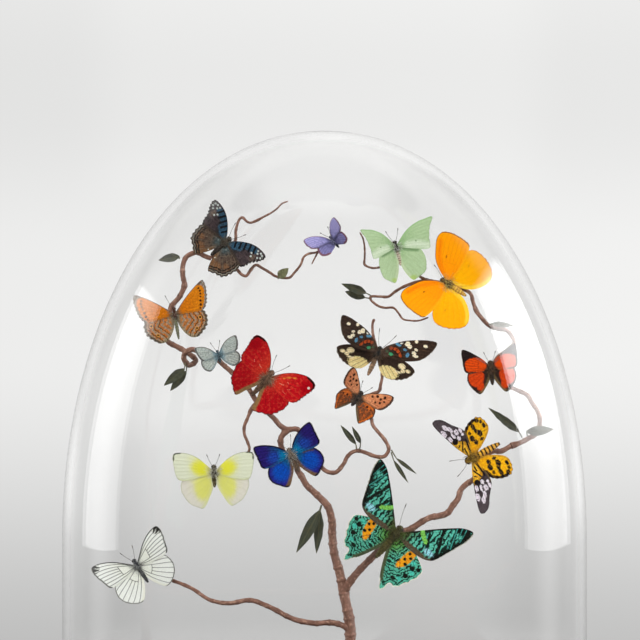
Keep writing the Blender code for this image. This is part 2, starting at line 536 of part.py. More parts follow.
def build_insect(insect: Insect) -> None:
    """Body, antennae and four wings, fused into one piece and set in its pose."""
    species = insect.species
    piece = add_object(insect.name, body_tube(species), finish(insect.name, species.colour, 0.6))
    for side, which in ((1, 0), (-1, 1)):
        hind = wing_plate(species.hind, side, insect.lift[which], insect.hind_turn[which], WING_ROOT)
        combine(piece, add_object("hind", hind), "UNION")
        fore_height = WING_ROOT + FORE_OVER_HIND
        fore_lift = insect.lift[which] + insect.rise[which]
        fore = wing_plate(species.fore, side, fore_lift, insect.fore_turn[which], fore_height)
        combine(piece, add_object("fore", fore), "UNION")
        combine(piece, add_object("antenna", antenna_tube(species, side)), "UNION")

    pose = Matrix.Translation(to_metres(insect.place)) @ Matrix.Rotation(radians(90), 4, "X")
    pose = pose @ Matrix.Rotation(radians(insect.heading - 90), 4, "Z")
    pose = pose @ Matrix.Rotation(radians(insect.pitch), 4, "X")
    pose = pose @ Matrix.Rotation(radians(insect.roll), 4, "Y")
    piece.data.transform(pose)


def main() -> None:
    """Build every piece in an empty scene."""
    for item in list(bpy.data.objects):
        bpy.data.objects.remove(item)
    build_plinth()
    build_dome()
    build_twigs()
    leaf_green = finish("dry leaf", (0.06, 0.07, 0.04), 0.6)
    for leaf in LEAVES:
        build_leaf(leaf, leaf_green)
    for insect in INSECTS:
        build_insect(insect)


main()
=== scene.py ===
"""Butterflies and moths mounted on a branching twig, under an oval glass dome on a wooden plinth.

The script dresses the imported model: every wing, body, twig, leaf, the glass and the plinth. The
insects face -Y and stand in the same places as the solids that they replace. Lengths in the tables
are millimetres, angles degrees and colours sRGB hex codes.
"""

from __future__ import annotations

import logging
from collections.abc import Iterable, Sequence
from dataclasses import dataclass, field
from enum import Enum
from math import cos, pi, radians, sin

import bpy
import numpy as np
from mathutils import Matrix, Vector

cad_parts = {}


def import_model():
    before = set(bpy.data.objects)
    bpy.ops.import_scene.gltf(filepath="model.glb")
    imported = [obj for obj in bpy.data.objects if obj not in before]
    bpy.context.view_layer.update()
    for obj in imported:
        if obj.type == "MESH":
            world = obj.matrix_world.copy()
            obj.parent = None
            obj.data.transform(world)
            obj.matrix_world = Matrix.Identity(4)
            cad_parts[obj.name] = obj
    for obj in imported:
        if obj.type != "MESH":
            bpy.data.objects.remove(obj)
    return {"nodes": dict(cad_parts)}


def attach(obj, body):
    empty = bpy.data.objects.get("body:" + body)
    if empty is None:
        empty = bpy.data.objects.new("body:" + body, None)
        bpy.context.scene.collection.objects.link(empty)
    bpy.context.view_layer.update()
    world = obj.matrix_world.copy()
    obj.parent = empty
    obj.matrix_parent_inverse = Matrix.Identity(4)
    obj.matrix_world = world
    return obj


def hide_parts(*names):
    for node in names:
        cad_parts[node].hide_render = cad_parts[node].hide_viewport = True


log = logging.getLogger("dome")

MM = 0.001
SAMPLES = 12                # points that a smoothed curve gets between two points of its table
SHARP = radians(55)         # faces that meet at more than this keep a crisp edge
TINY = 1e-6                 # the least length that something is divided by
RIPPLE_WAVES = 6

Point = tuple[float, ...]
Colour = str


# --- shapes --------------------------------------------------------------------------------------
def smooth(points: Sequence[Point]) -> np.ndarray:
    """A curve through every point of a table.

    Args:
        points: the table, at least two points of any dimension.

    Returns:
        SAMPLES rows for each stretch between two points, and the last point.
    """
    knots = np.array(points, float)
    ends = np.vstack([2 * knots[0] - knots[1], knots, 2 * knots[-1] - knots[-2]])
    share = np.arange(SAMPLES)[:, None] / SAMPLES
    rows = []
    for before, start, end, after in zip(ends, ends[1:], ends[2:], ends[3:]):
        steps = start - before, end - start, after - end
        last, chord, following = (max(np.linalg.norm(step), TINY) for step in steps)
        lead_in = (end - before) * chord / (chord + last)
        lead_out = (after - start) * chord / (chord + following)
        cube, square = share ** 3, share ** 2
        rows.append((2 * cube - 3 * square + 1) * start + (cube - 2 * square + share) * lead_in
                    + (3 * square - 2 * cube) * end + (cube - square) * lead_out)
    return np.vstack(rows + [knots[-1:]])


def walked(curve: np.ndarray) -> np.ndarray:
    """How far along the curve each of its rows is."""
    return np.concatenate([[0.0], np.cumsum(np.linalg.norm(np.diff(curve, axis=0), axis=1))])


def even(curve: np.ndarray, count: int) -> np.ndarray:
    """The curve again, with that many evenly spaced rows.

    Args:
        curve: the curve, one row for each point.
        count: how many rows it gets.

    Returns:
        The new rows.
    """
    way = walked(curve)
    places = np.linspace(0, way[-1], count)
    return np.stack([np.interp(places, way, column) for column in curve.T], axis=1)


def unit(vectors: np.ndarray) -> np.ndarray:
    """The directions of the vectors in the last axis."""
    return vectors / np.linalg.norm(vectors, axis=-1)[..., None]


def turns_of(count: int) -> np.ndarray:
    """That many even turns round a circle, in radians."""
    return 2 * pi * np.arange(count) / count


def oval(count: int, width: float, depth: float, height: float,
         middle: Point = (0.0, 0.0)) -> np.ndarray:
    """A level ring of points, with half its width and half its depth.

    Args:
        count: how many points it has.
        width, depth: half its size along X and along Y.
        height: how high it lies.
        middle: the place of its middle.

    Returns:
        One row for each point.
    """
    turns = turns_of(count)
    return np.stack([middle[0] + width * np.cos(turns), middle[1] + depth * np.sin(turns),
                     np.full(count, height)], 1)


def wrapped(upper: np.ndarray, lower: np.ndarray | None = None) -> np.ndarray:
    """The rows of a sheet's upper face, each carried on back over its lower face."""
    lower = upper if lower is None else lower
    return np.concatenate([upper, lower[:, ::-1]], 1)


def distance(places: np.ndarray, line: np.ndarray) -> np.ndarray:
    """How far each flat place, in the last axis, is from a line of flat points.

    Args:
        places: an array of (x, y).
        line: one row for each point of the line.

    Returns:
        One number for each place.
    """
    start, step = line[:-1], np.diff(line, axis=0)
    away = places[..., None, :] - start
    along = np.clip((away * step).sum(-1) / np.maximum((step ** 2).sum(-1), 1e-9), 0, 1)
    return np.linalg.norm(away - along[..., None] * step, axis=-1).min(-1)


def ripple(places: np.ndarray, size: float, seed: int) -> np.ndarray:
    """A smooth random value from about -1 to 1 at each place, with waves of about that size.

    Args:
        places: an array of points.
        size: the length of a wave.
        seed: the seed of the random waves.

    Returns:
        One value for each place.
    """
    random = np.random.default_rng(seed)
    total = np.zeros(places.shape[:-1])
    for _ in range(RIPPLE_WAVES):
        way = random.normal(size=places.shape[-1])
        way *= 2 * pi / size / np.linalg.norm(way) * random.uniform(0.6, 1.5)
        total += np.sin(places @ way + random.uniform(0, 2 * pi))
    return total / 3.5


def put(name: str, data: bpy.types.ID) -> bpy.types.Object:
    """A new object of the scene with this data.

    Args:
        name: the object's name.
        data: its mesh, lamp or camera.

    Returns:
        The object.
    """
    made = bpy.data.objects.new(name, data)
    bpy.context.collection.objects.link(made)
    return made


@dataclass
class Skin:
    """Closed bodies that are gathered here and then made into one object.

    Attributes:
        points: rows of (x, y, z) in millimetres, one array for each body.
        faces: the bodies' faces, as places in the whole list of points.
        paints: the number of each face's material.
        values: what the materials read, for each name a list of (first point, array).
        count: how many points there are.
    """

    points: list[np.ndarray] = field(default_factory=list)
    faces: list[list[int]] = field(default_factory=list)
    paints: list[int] = field(default_factory=list)
    values: dict[str, list[tuple[int, np.ndarray]]] = field(default_factory=dict)
    count: int = 0

    def loft(self, rings: np.ndarray, poles: tuple[Point | None, Point | None] = (None, None),
             paint: int = 0, **values: np.ndarray | float) -> None:
        """Add a body that joins rings of equally many points.

        Args:
            rings: an array of rings, each an array of points.
            poles: where the first and the last ring close in a point; a ring without one is closed
                flat, by joining its first half to its second.
            paint: the number of the body's material.
            **values: for each attribute a number, or one value for each point of each ring.
        """
        total, sides = rings.shape[:2]
        ring, turn = np.arange(total - 1)[:, None] * sides, np.arange(sides)
        near, far = ring + turn, ring + (turn + 1) % sides
        faces = np.stack([near, far, far + sides, near + sides], -1).reshape(-1, 4).tolist()
        points = [rings.reshape(-1, 3)]
        extra = []
        for pole, first, back in zip(poles, (0, (total - 1) * sides), (True, False)):
            if pole is None:
                half = sides // 2
                caps = [[first + i, first + i + 1, first + sides - 2 - i, first + sides - 1 - i]
                        for i in range(half - 1)]
            else:
                tip = total * sides + len(extra)
                extra.append(first)
                points.append(np.array([pole], float))
                caps = [[first + i, first + (i + 1) % sides, tip] for i in range(sides)]
            faces += [cap[::-1] for cap in caps] if back else caps
        body = np.vstack(points)
        centred = body - body.mean(0)
        corners = [centred[[face[i] for face in faces]] for i in (0, 1, 2)]
        if np.einsum("ij,ij->i", corners[0], np.cross(corners[1], corners[2])).sum() < 0:
            faces = [face[::-1] for face in faces]
        self.faces += [[self.count + corner for corner in face] for face in faces]
        self.paints += [paint] * len(faces)
        for name, value in values.items():
            value = np.asarray(value, float)
            if value.ndim == 3 or value.shape == (3,):
                flat = np.broadcast_to(value, rings.shape)
            else:
                flat = np.broadcast_to(value, (total, sides))
            flat = flat.reshape(total * sides, -1)
            for first in extra:
                flat = np.vstack([flat, flat[first:first + sides].mean(0)])
            self.values.setdefault(name, []).append((self.count, flat))
        self.points.append(body)
        self.count += len(body)

    def make(self, name: str, materials: Iterable[bpy.types.Material]) -> bpy.types.Object:
        """The object with all the bodies, with its place in its mesh.

        Args:
            name: the object's name.
            materials: the bodies' materials in order.

        Returns:
            The object.
        """
        mesh = bpy.data.meshes.new(name)
        mesh.from_pydata((np.vstack(self.points) * MM).tolist(), [], self.faces)
        for material in materials:
            mesh.materials.append(material)
        mesh.polygons.foreach_set("material_index", self.paints)
        for key, parts in self.values.items():
            width = parts[0][1].shape[1]
            store = mesh.attributes.new(key, "FLOAT_VECTOR" if width == 3 else "FLOAT", "POINT")
            whole = np.zeros((self.count, width))
            for start, part in parts:
                whole[start:start + len(part)] = part
            store.data.foreach_set("vector" if width == 3 else "value", whole.ravel())
        mesh.shade_smooth()
        mesh.set_sharp_from_angle(angle=SHARP)
        return put(name, mesh)


def tube_rings(route: np.ndarray, radii: np.ndarray, sides: int) -> tuple[np.ndarray, np.ndarray]:
    """Rings round a route, carried on from one to the next without twisting.

    Args:
        route: the middle of each ring.
        radii: one radius for each ring, or one for each point of each ring.
        sides: how many points a ring has.

    Returns:
        The rings, and the direction in which each of their points faces.
    """
    ways = unit(np.gradient(route, axis=0))
    across = np.array([0.0, 1.0, 0.0]) if abs(ways[0][1]) < 0.9 else np.array([1.0, 0.0, 0.0])
    turns = turns_of(sides)
    facing = []
    for way in ways:
        across = across - way * (across @ way)
        across /= np.linalg.norm(across)
        aside = np.cross(way, across)
        facing.append(np.outer(np.cos(turns), across) + np.outer(np.sin(turns), aside))
    outward = np.array(facing)
    reach = np.broadcast_to(radii.reshape(len(route), -1), (len(route), sides))
    return route[:, None] + outward * reach[..., None], outward


# --- shading -------------------------------------------------------------------------------------
def linear(colour: Colour) -> tuple[float, float, float, float]:
    """The linear value of an sRGB hex code, as sockets take it.

    Args:
        colour: six hex digits.

    Returns:
        Red, green, blue and a full alpha.
    """
    parts = (int(colour[i:i + 2], 16) / 255 for i in (0, 2, 4))
    return *(part / 12.92 if part < 0.0405 else ((part + 0.055) / 1.055) ** 2.4
             for part in parts), 1.0


class Nodes:
    """Short calls for the nodes of one material or group."""

    def __init__(self, tree: bpy.types.NodeTree) -> None:
        """Take over a node tree."""
        self.tree = tree

    def feed(self, socket: bpy.types.NodeSocket, value: object) -> None:
        """Link a socket into another, or set its value, which for a colour is its hex code.

        Args:
            socket: the input.
            value: a socket, a number, a vector or a code.
        """
        if isinstance(value, bpy.types.NodeSocket):
            self.tree.links.new(value, socket)
        else:
            coded = socket.type == "RGBA" and isinstance(value, str)
            socket.default_value = linear(value) if coded else value

    def new(self, kind: str, inputs: dict[str | int, object], **settings: object) -> bpy.types.Node:
        """A new node of any kind with these settings and inputs.

        Args:
            kind: the node's type.
            inputs: what its inputs are fed with.
            **settings: its own properties.

        Returns:
            The node.
        """
        node = self.tree.nodes.new(kind)
        for name, value in settings.items():
            setattr(node, name, value)
        for name, value in inputs.items():
            self.feed(node.inputs[name], value)
        return node

    def add(self, kind: str, inputs: dict[str | int, object] | None = None,
            **settings: object) -> bpy.types.Node:
        """A new shader node with these settings and inputs."""
        return self.new("ShaderNode" + kind, inputs or {}, **settings)

    def math(self, operation: str, *values: object) -> bpy.types.NodeSocket:
        """The result of a Math node."""
        return self.add("Math", dict(enumerate(values)), operation=operation).outputs[0]

    def times(self, first: object, second: object) -> bpy.types.NodeSocket:
        """The product of two numbers."""
        return self.math("MULTIPLY", first, second)

    def scaled(self, value: object, factor: object, base: object) -> bpy.types.NodeSocket:
        """A number times a factor, added to a base."""
        return self.math("MULTIPLY_ADD", value, factor, base)

    def minus(self, first: object, second: object) -> bpy.types.NodeSocket:
        """The first number without the second."""
        return self.math("SUBTRACT", first, second)

    def mix(self, share: object, first: object, second: object,
            blend: str = "MIX") -> bpy.types.NodeSocket:
        """Two colours mixed by a share."""
        node = self.add("Mix", {0: share, 6: first, 7: second}, data_type="RGBA", blend_type=blend)
        return node.outputs[2]

    def rise(self, value: object, low: float, high: float) -> bpy.types.NodeSocket:
        """A smooth step from 0 at the low value to 1 at the high one."""
        inputs = {"Value": value, "From Min": low, "From Max": high}
        return self.add("MapRange", inputs, interpolation_type="SMOOTHSTEP").outputs[0]

    def between(self, value: object, low: float, high: float) -> bpy.types.NodeSocket:
        """The value's range from 0 to 1, laid from the low number to the high one."""
        inputs = {"Value": value, "To Min": low, "To Max": high}
        return self.add("MapRange", inputs).outputs[0]

    def stairs(self, value: object, level: float, steps: Sequence[Point]) -> bpy.types.NodeSocket:
        """A level that changes in soft steps, each (start, end, change), as the value grows.

        Args:
            value: what the steps are measured on.
            level: where it starts.
            steps: the steps in order.

        Returns:
            The level.
        """
        total: object = level
        for start, end, change in steps:
            total = self.scaled(self.rise(value, start, end), change, total)
        return total

    def noise(self, vector: object, scale: float, detail: float = 2.0) -> bpy.types.NodeSocket:
        """A noise texture's value at that vector."""
        return self.add("TexNoise", {"Vector": vector, "Scale": scale, "Detail": detail}).outputs[0]

    def stretch(self, vector: object, x: float, y: float, z: float) -> bpy.types.NodeSocket:
        """The vector with each part scaled by its own number."""
        return self.add("VectorMath", {0: vector, 1: (x, y, z)}, operation="MULTIPLY").outputs[0]

    def places(self) -> bpy.types.NodeSocket:
        """The places on the piece, in metres."""
        return self.add("TexCoord").outputs["Object"]

    def value(self, name: str) -> bpy.types.NodeSocket:
        """An attribute's number."""
        return self.add("Attribute", attribute_name=name).outputs["Fac"]

    def vector(self, name: str) -> bpy.types.NodeSocket:
        """An attribute's vector."""
        return self.add("Attribute", attribute_name=name).outputs["Vector"]

    def group(self, tree: bpy.types.NodeTree, **inputs: object) -> bpy.types.Node:
        """A shared effect with its own inputs.

        Args:
            tree: the effect's node group.
            **inputs: what its inputs are fed with.

        Returns:
            The node.
        """
        node = self.add("Group", node_tree=tree)
        for name, value in inputs.items():
            self.feed(node.inputs[name.replace("_", " ").capitalize()], value)
        return node


class Effect(Enum):
    """Effects that several materials share, each built once as a node group."""

    POWDER = "fine scales"
    PATCH = "soft-edged patch"
    GRAIN = "streaky grain"

    @property
    def tree(self) -> bpy.types.NodeTree:
        """The effect's node group, made when it is first asked for."""
        return bpy.data.node_groups.get(self.value) or self.build()

    def build(self) -> bpy.types.NodeTree:
        """Make the group with its sockets and nodes.

        Returns:
            The node group.
        """
        tree = bpy.data.node_groups.new(self.value, "ShaderNodeTree")
        sockets = {
            Effect.POWDER: (("Colour", "Vector", "Strength"), ("Colour", "Height")),
            Effect.PATCH: (("Field", "Vector", "Edge", "Jitter"), ("Mask",)),
            Effect.GRAIN: (("Colour", "Dark", "Vector", "Size", "Strength"), ("Colour", "Height")),
        }[self]
        for names, way in zip(sockets, ("INPUT", "OUTPUT")):
            for name in names:
                kind = {"Colour": "Color", "Dark": "Color", "Vector": "Vector"}.get(name, "Float")
                tree.interface.new_socket(name, in_out=way, socket_type="NodeSocket" + kind)
        nodes = Nodes(tree)
        inside = tree.nodes.new("NodeGroupInput").outputs
        outside = tree.nodes.new("NodeGroupOutput").inputs
        if self is Effect.POWDER:
            mealy = nodes.noise(inside["Vector"], 0.9, 4.0)
            fine = nodes.noise(inside["Vector"], 4.5, 1.0)
            both = nodes.scaled(fine, 0.4, nodes.times(mealy, 0.6))
            crisp = nodes.rise(both, 0.32, 0.68)
            dusted = nodes.mix(inside["Strength"], inside["Colour"], crisp, "OVERLAY")
            nodes.feed(outside["Colour"], dusted)
            nodes.feed(outside["Height"], both)
        elif self is Effect.PATCH:
            wobble = nodes.minus(nodes.noise(inside["Vector"], 1.1, 2.0), 0.5)
            ragged = nodes.scaled(wobble, inside["Jitter"], inside["Field"])
            sharp = nodes.math("DIVIDE", ragged, inside["Edge"])
            nodes.feed(outside["Mask"], nodes.rise(sharp, -1.0, 1.0))
        else:
            scaled = nodes.add("VectorMath", {0: inside["Vector"], "Scale": inside["Size"]},
                               operation="SCALE").outputs[0]
            broad = nodes.noise(scaled, 0.35, 3.0)
            fine = nodes.noise(scaled, 1.6, 4.0)
            both = nodes.scaled(fine, 0.6, nodes.times(broad, 0.4))
            share = nodes.times(nodes.rise(both, 0.62, 0.38), inside["Strength"])
            nodes.feed(outside["Colour"], nodes.mix(share, inside["Colour"], inside["Dark"]))
            nodes.feed(outside["Height"], both)
        return tree


def material(name: str, roughness: float,
             **shine: float) -> tuple[bpy.types.Material, Nodes, bpy.types.Node]:
    """A new material with a Principled shader.

    Args:
        name: the material's name.
        roughness: the shader's roughness.
        **shine: other plain inputs of the shader, such as Sheen_Weight.

    Returns:
        The material, its nodes and its shader.
    """
    made = bpy.data.materials.new(name)
    made.use_nodes = True
    shader = made.node_tree.nodes["Principled BSDF"]
    shader.inputs["Roughness"].default_value = roughness
    for key, value in shine.items():
        shader.inputs[key.replace("_", " ")].default_value = value
    return made, Nodes(made.node_tree), shader


def dress(nodes: Nodes, shader: bpy.types.Node, colour: object, height: object,
          relief: float) -> None:
    """Feed a shader its colour and a bump of that many millimetres.

    Args:
        nodes: the material's nodes.
        shader: its shader.
        colour, height: the sockets that they come from.
        relief: how far the bump rises.
    """
    nodes.feed(shader.inputs["Base Color"], colour)
    bump = nodes.add("Bump", {"Strength": 1.0, "Distance": relief * MM, "Height": height})
    nodes.feed(shader.inputs["Normal"], bump.outputs[0])


def keep(piece: bpy.types.Object, slot: str, *nodes: str) -> None:
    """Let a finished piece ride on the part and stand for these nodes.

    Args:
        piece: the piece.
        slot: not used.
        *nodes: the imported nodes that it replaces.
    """
    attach(piece, "root")
    if nodes:
        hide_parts(*nodes)
    log.info("%s: %d faces", piece.name, len(piece.data.polygons))


# --- wings ---------------------------------------------------------------------------------------
WING_SHELL = 0.14           # thickness of a wing
WING_ROOT = 0.2             # height of the hind wing over the body's axis
FORE_OVER_HIND = 0.42
CELL_SIZE = 0.6             # length of a wing's smallest faces
CELL_END = 0.46             # share of the wing's length where the cell between the veins ends
OUTSIDE = -3.0              # the depth in a mark of a place that is far from it
FORE_RIBS = 8               # spaces between the veins
HIND_RIBS = 7
NICKS = ((0.12, 3.0), (0.07, 1.3))      # (depth, length) of the waves that wear the margin
PLEAT = 0.04                # height of the folds along the veins
ARCH = 0.55                 # how far a wing bulges between its edges
VEIN_EDGE = (0.34, 0.08)    # how far from its middle a vein starts, and where it is full


class Side(Enum):
    """Which of an insect's wings: its right or its left ones."""

    RIGHT = 1
    LEFT = -1


@dataclass(frozen=True)
class Mark:
    """A patch of colour on a wing.

    Attributes:
        colour: its colour.
        spots: (x, y, half width), and where it isn't round its half height and its turn.
        strokes: (half width, the points that it runs through).
        edge: half the width of its soft edge.
        jitter: how ragged its edge is.
        only: the one side that has it.
    """

    colour: Colour
    spots: tuple[Point, ...] = ()
    strokes: tuple[tuple[float, tuple[Point, ...]], ...] = ()
    edge: float = 0.25
    jitter: float = 0.5
    only: Side | None = None

    def depth(self, flat: np.ndarray) -> np.ndarray:
        """How far inside the patch each flat place is; less than zero is outside.

        Args:
            flat: an array of (x, y).

        Returns:
            One depth for each place.
        """
        deepest = np.full(flat.shape[:-1], OUTSIDE)
        for x, y, width, *rest in self.spots:
            height, turn = *rest, *(width, 0.0)[len(rest):]
            away = flat - (x, y)
            tilt = radians(turn)
            across = away @ (cos(tilt), sin(tilt)) / width
            up = away @ (-sin(tilt), cos(tilt)) / height
            deepest = np.maximum(deepest, (1 - np.hypot(across, up)) * min(width, height))
        for half, points in self.strokes:
            deepest = np.maximum(deepest, half - distance(flat, smooth(points)))
        return deepest


@dataclass(frozen=True)
class Wing:
    """A right-hand wing laid flat: its outline and all its colours.

    The outline's points are (outward, towards the head) from the root round the leading edge, and
    `apex` and `tornus` are the places in it where the outer margin starts and ends.

    Attributes:
        near, far: the ground colours by the root and at the margin, and `blend` where one goes over
            to the other, in shares of the wing's length.
        rim: the colour of the outer margin and leading edge, which are `margin` and `costa` wide.
        fold: the colour along the inner margin, and `inner` its width.
        veins: the veins' colour, and `vein` how strong they are.
        streaks: how strongly fine rays run from the root to the margin.
        waves: (colour, spacing, strength, bend) of wavy lines that follow the margin, or that run
            across the wing where `straight` is set.
        straight: whether the waves run straight from the leading edge to the inner margin.
        mottle: (colour, strength) of irregular blotches.
        lines: (colour, distance, half width) of each line that runs along the margin.
        base: the dark dusting over the root, and how far it reaches.
        under: the colour that the underside leans to.
        scallop: how deep the margin is cut in between the veins.
        powder: how strongly the scales vary.
        marks: the patches of colour, each laid over those before it.
    """

    outline: tuple[Point, ...]
    apex: int
    tornus: int
    near: Colour
    far: Colour
    blend: Point = (0.3, 0.8)
    rim: Colour = "302620"
    margin: float = 0.4
    costa: float = 0.3
    fold: Colour = "807060"
    inner: float = 0.0
    veins: Colour = "4a3c34"
    vein: float = 0.25
    streaks: float = 0.25
    waves: tuple[Colour, float, float, float] = ("000000", 1.0, 0.0, 9.0)
    straight: bool = False
    mottle: tuple[Colour, float] = ("201a18", 0.0)
    lines: tuple[tuple[Colour, float, float], ...] = ()
    base: tuple[Colour, float] = ("3a332c", 0.14)
    under: Colour = "a09488"
    scallop: float = 0.0
    powder: float = 0.4
    marks: tuple[Mark, ...] = ()

    @property
    def length(self) -> float:
        """From the root to the farthest point."""
        return max(float(np.hypot(*point)) for point in self.outline)

    def plan(self, ribs: int) -> tuple[np.ndarray, dict[str, np.ndarray]]:
        """The flat wing as a grid from the root to the margin, and what the finish reads on it.

        Args:
            ribs: how many spaces there are between the veins.

        Returns:
            Rows of flat places, and one array for each attribute.
        """
        whole = smooth(self.outline + self.outline[:1])
        steps = max(14, int(self.length / CELL_SIZE))
        columns = ribs * max(3, int(self.length / ribs / CELL_SIZE * 1.2)) + 1
        lead = even(whole[:self.apex * SAMPLES + 1], steps + 1)
        edge = even(whole[self.apex * SAMPLES:self.tornus * SAMPLES + 1], columns)
        trail = even(whole[self.tornus * SAMPLES:][::-1], steps + 1)
        across = np.linspace(0, 1, columns)
        way = np.gradient(edge, axis=0)
        outward = np.stack([-way[:, 1], way[:, 0]], 1) / np.linalg.norm(way, axis=1)[:, None]
        outward *= np.sign((outward * (edge - whole.mean(0))).sum())
        between = np.sin(pi * across)
        dip = (0.5 - 0.5 * np.cos(2 * pi * ribs * across)) * between ** 0.3
        nicks = sum(depth * ripple(edge, size, ribs + i) for i, (depth, size) in enumerate(NICKS))
        margin = edge - outward * (self.scallop * dip + nicks * between ** 0.5)[:, None]
        reach = np.linspace(0, 1, steps + 1)[1:, None]
        share = np.broadcast_to(across, (steps, columns))
        straight = (1 - share)[..., None] * lead[1:, None] + share[..., None] * trail[1:, None]
        bulge = margin - ((1 - across)[:, None] * edge[0] + across[:, None] * edge[-1])
        flat = straight + (reach ** 1.4)[..., None] * bulge
        reach = np.broadcast_to(reach, share.shape)
        values = {
            "reach": reach,
            "margin": distance(flat, margin),
            "costa": distance(flat, lead),
            "inner": distance(flat, trail),
            "vein": self.from_veins(flat, ribs),
            "rays": np.stack([share * self.length * 1.6, reach * self.length * 0.16,
                              np.full(share.shape, self.length)], -1),
            "flat": np.concatenate([flat, np.zeros((*share.shape, 1))], -1),
        }
        for i, mark in enumerate(self.marks):
            values[f"mark_{i}"] = mark.depth(flat)
        return flat, values

    @staticmethod
    def from_veins(flat: np.ndarray, ribs: int) -> np.ndarray:
        """How far each place of the grid is from the nearest vein.

        Args:
            flat: the grid.
            ribs: how many spaces there are between the veins.

        Returns:
            One distance for each place.
        """
        steps, columns = flat.shape[:2]
        every = (columns - 1) // ribs
        cell = int(steps * CELL_END)
        middle = range(ribs // 3 + 1, ribs - ribs // 3)
        nearest = np.full((steps, columns), 9.0)
        for rib in range(1, ribs):
            start = cell if rib in middle else 0
            line = flat[start:, rib * every]
            nearest = np.minimum(nearest, distance(flat, line))
        across = flat[cell, (ribs // 3) * every:(ribs - ribs // 3) * every + 1]
        return np.minimum(nearest, distance(flat, across))

    def finish(self, name: str) -> bpy.types.Material:
        """The wing's material: ground, marks, rim, veins and a bloom of fine scales.

        Args:
            name: the material's name.

        Returns:
            The material.
        """
        made, nodes, shader = material(name, 0.68, Specular_IOR_Level=0.12)
        flat, reach = nodes.vector("flat"), nodes.value("reach")
        wander = nodes.scaled(nodes.noise(flat, 0.25), 0.3, nodes.minus(reach, 0.15))
        colour = nodes.mix(nodes.rise(wander, *self.blend), self.near, self.far)
        rays = nodes.noise(nodes.vector("rays"), 1.0, 3.0)
        colour = nodes.mix(self.streaks, colour, rays, "OVERLAY")

        def patch(under: object, top: object, depth: object, edge: float, jitter: float) -> object:
            """A colour with another over it where the depth is above zero."""
            mask = nodes.group(Effect.PATCH.tree, Field=depth, Vector=flat, Edge=edge,
                               Jitter=jitter)
            return nodes.mix(mask.outputs[0], under, top)

        tone, strength = self.mottle
        if strength:
            blots = nodes.rise(nodes.noise(flat, 0.55, 4.0), 0.5, 0.6)
            colour = nodes.mix(nodes.times(blots, strength), colour, tone)
        tone, spacing, strength, bend = self.waves
        if strength:
            way = nodes.value("margin")
            if self.straight:
                way = nodes.add("SeparateXYZ", {0: flat}).outputs[0]
            phase = nodes.scaled(nodes.noise(flat, 0.4, 3.0), bend,
                                 nodes.times(way, 2 * pi / spacing))
            crest = nodes.rise(nodes.math("SINE", phase), -0.15, 0.45)
            colour = nodes.mix(nodes.times(crest, strength), colour, tone)
        for key, width, tone, edge, jitter in (("inner", self.inner, self.fold, 0.7, 0.8),
                                               ("margin", self.margin, self.rim, 0.3, 0.5),
                                               ("costa", self.costa, self.rim, 0.25, 0.4)):
            if width:
                depth = nodes.minus(width, nodes.value(key))
                colour = patch(colour, tone, depth, edge, jitter)
        for i, mark in enumerate(self.marks):
            depth = nodes.value(f"mark_{i}")
            colour = patch(colour, mark.colour, depth, mark.edge, mark.jitter)
        for tone, place, half in self.lines:
            off = nodes.math("ABSOLUTE", nodes.minus(nodes.value("margin"), place))
            colour = patch(colour, tone, nodes.minus(half, off), 0.2, 0.9)
        line = nodes.rise(nodes.value("vein"), *VEIN_EDGE)
        colour = nodes.mix(nodes.times(line, self.vein), colour, self.veins)
        dust, extent = self.base
        dusted = nodes.scaled(rays, 0.16, nodes.minus(reach, 0.08))
        colour = nodes.mix(nodes.rise(dusted, extent * 1.5, extent * 0.4), colour, dust)
        powder = nodes.group(Effect.POWDER.tree, Colour=colour, Vector=flat, Strength=self.powder)
        beneath = nodes.mix(0.6, powder.outputs["Colour"], self.under)
        final = nodes.mix(nodes.value("under"), powder.outputs["Colour"], beneath)
        height = nodes.scaled(line, 0.8, powder.outputs["Height"])
        dress(nodes, shader, final, height, 0.06)
        return made


# --- bodies and fur ------------------------------------------------------------------------------
ANTENNA_SPREAD = 24.0
FUR_DENSITY = 8.0           # hairs on a square millimetre
FRINGE_DENSITY = 14.0
HAIR_TIP = 0.00002          # radius of a hair's tip, in metres
BODY_ROWS = 64
LEG_ROWS = 22
BODY_FLATNESS = 0.92
SEGMENTS = 8                # rings of the abdomen
CLUB = ((0, 0.8, 0.92, 1), (0.13, 0.12, 0.3, 0.2))      # shares of an antenna, and radii there
LEGS = ((0.55, 40, 1.0), (0.0, 5, 1.1), (-0.5, -45, 1.2))   # (place, splay, size) of each pair
LEG_JOINTS = ((0.5, 0.55, 0.5, -1.0), (0.4, 0.35, 1.2, -2.1), (0.6, 0.4, 1.5, -2.3))
LEG_RADII = ((0, 0.35, 0.7, 1), (0.22, 0.17, 0.11, 0.08))   # shares of a leg, and radii there
WOOL_REACH = 0.22           # share of the wing's length that carries wool


class Coat(Enum):
    """The kinds of hair that an insect has."""

    FUR = 0.0
    WOOL = 1.0
    FRINGE = 2.0


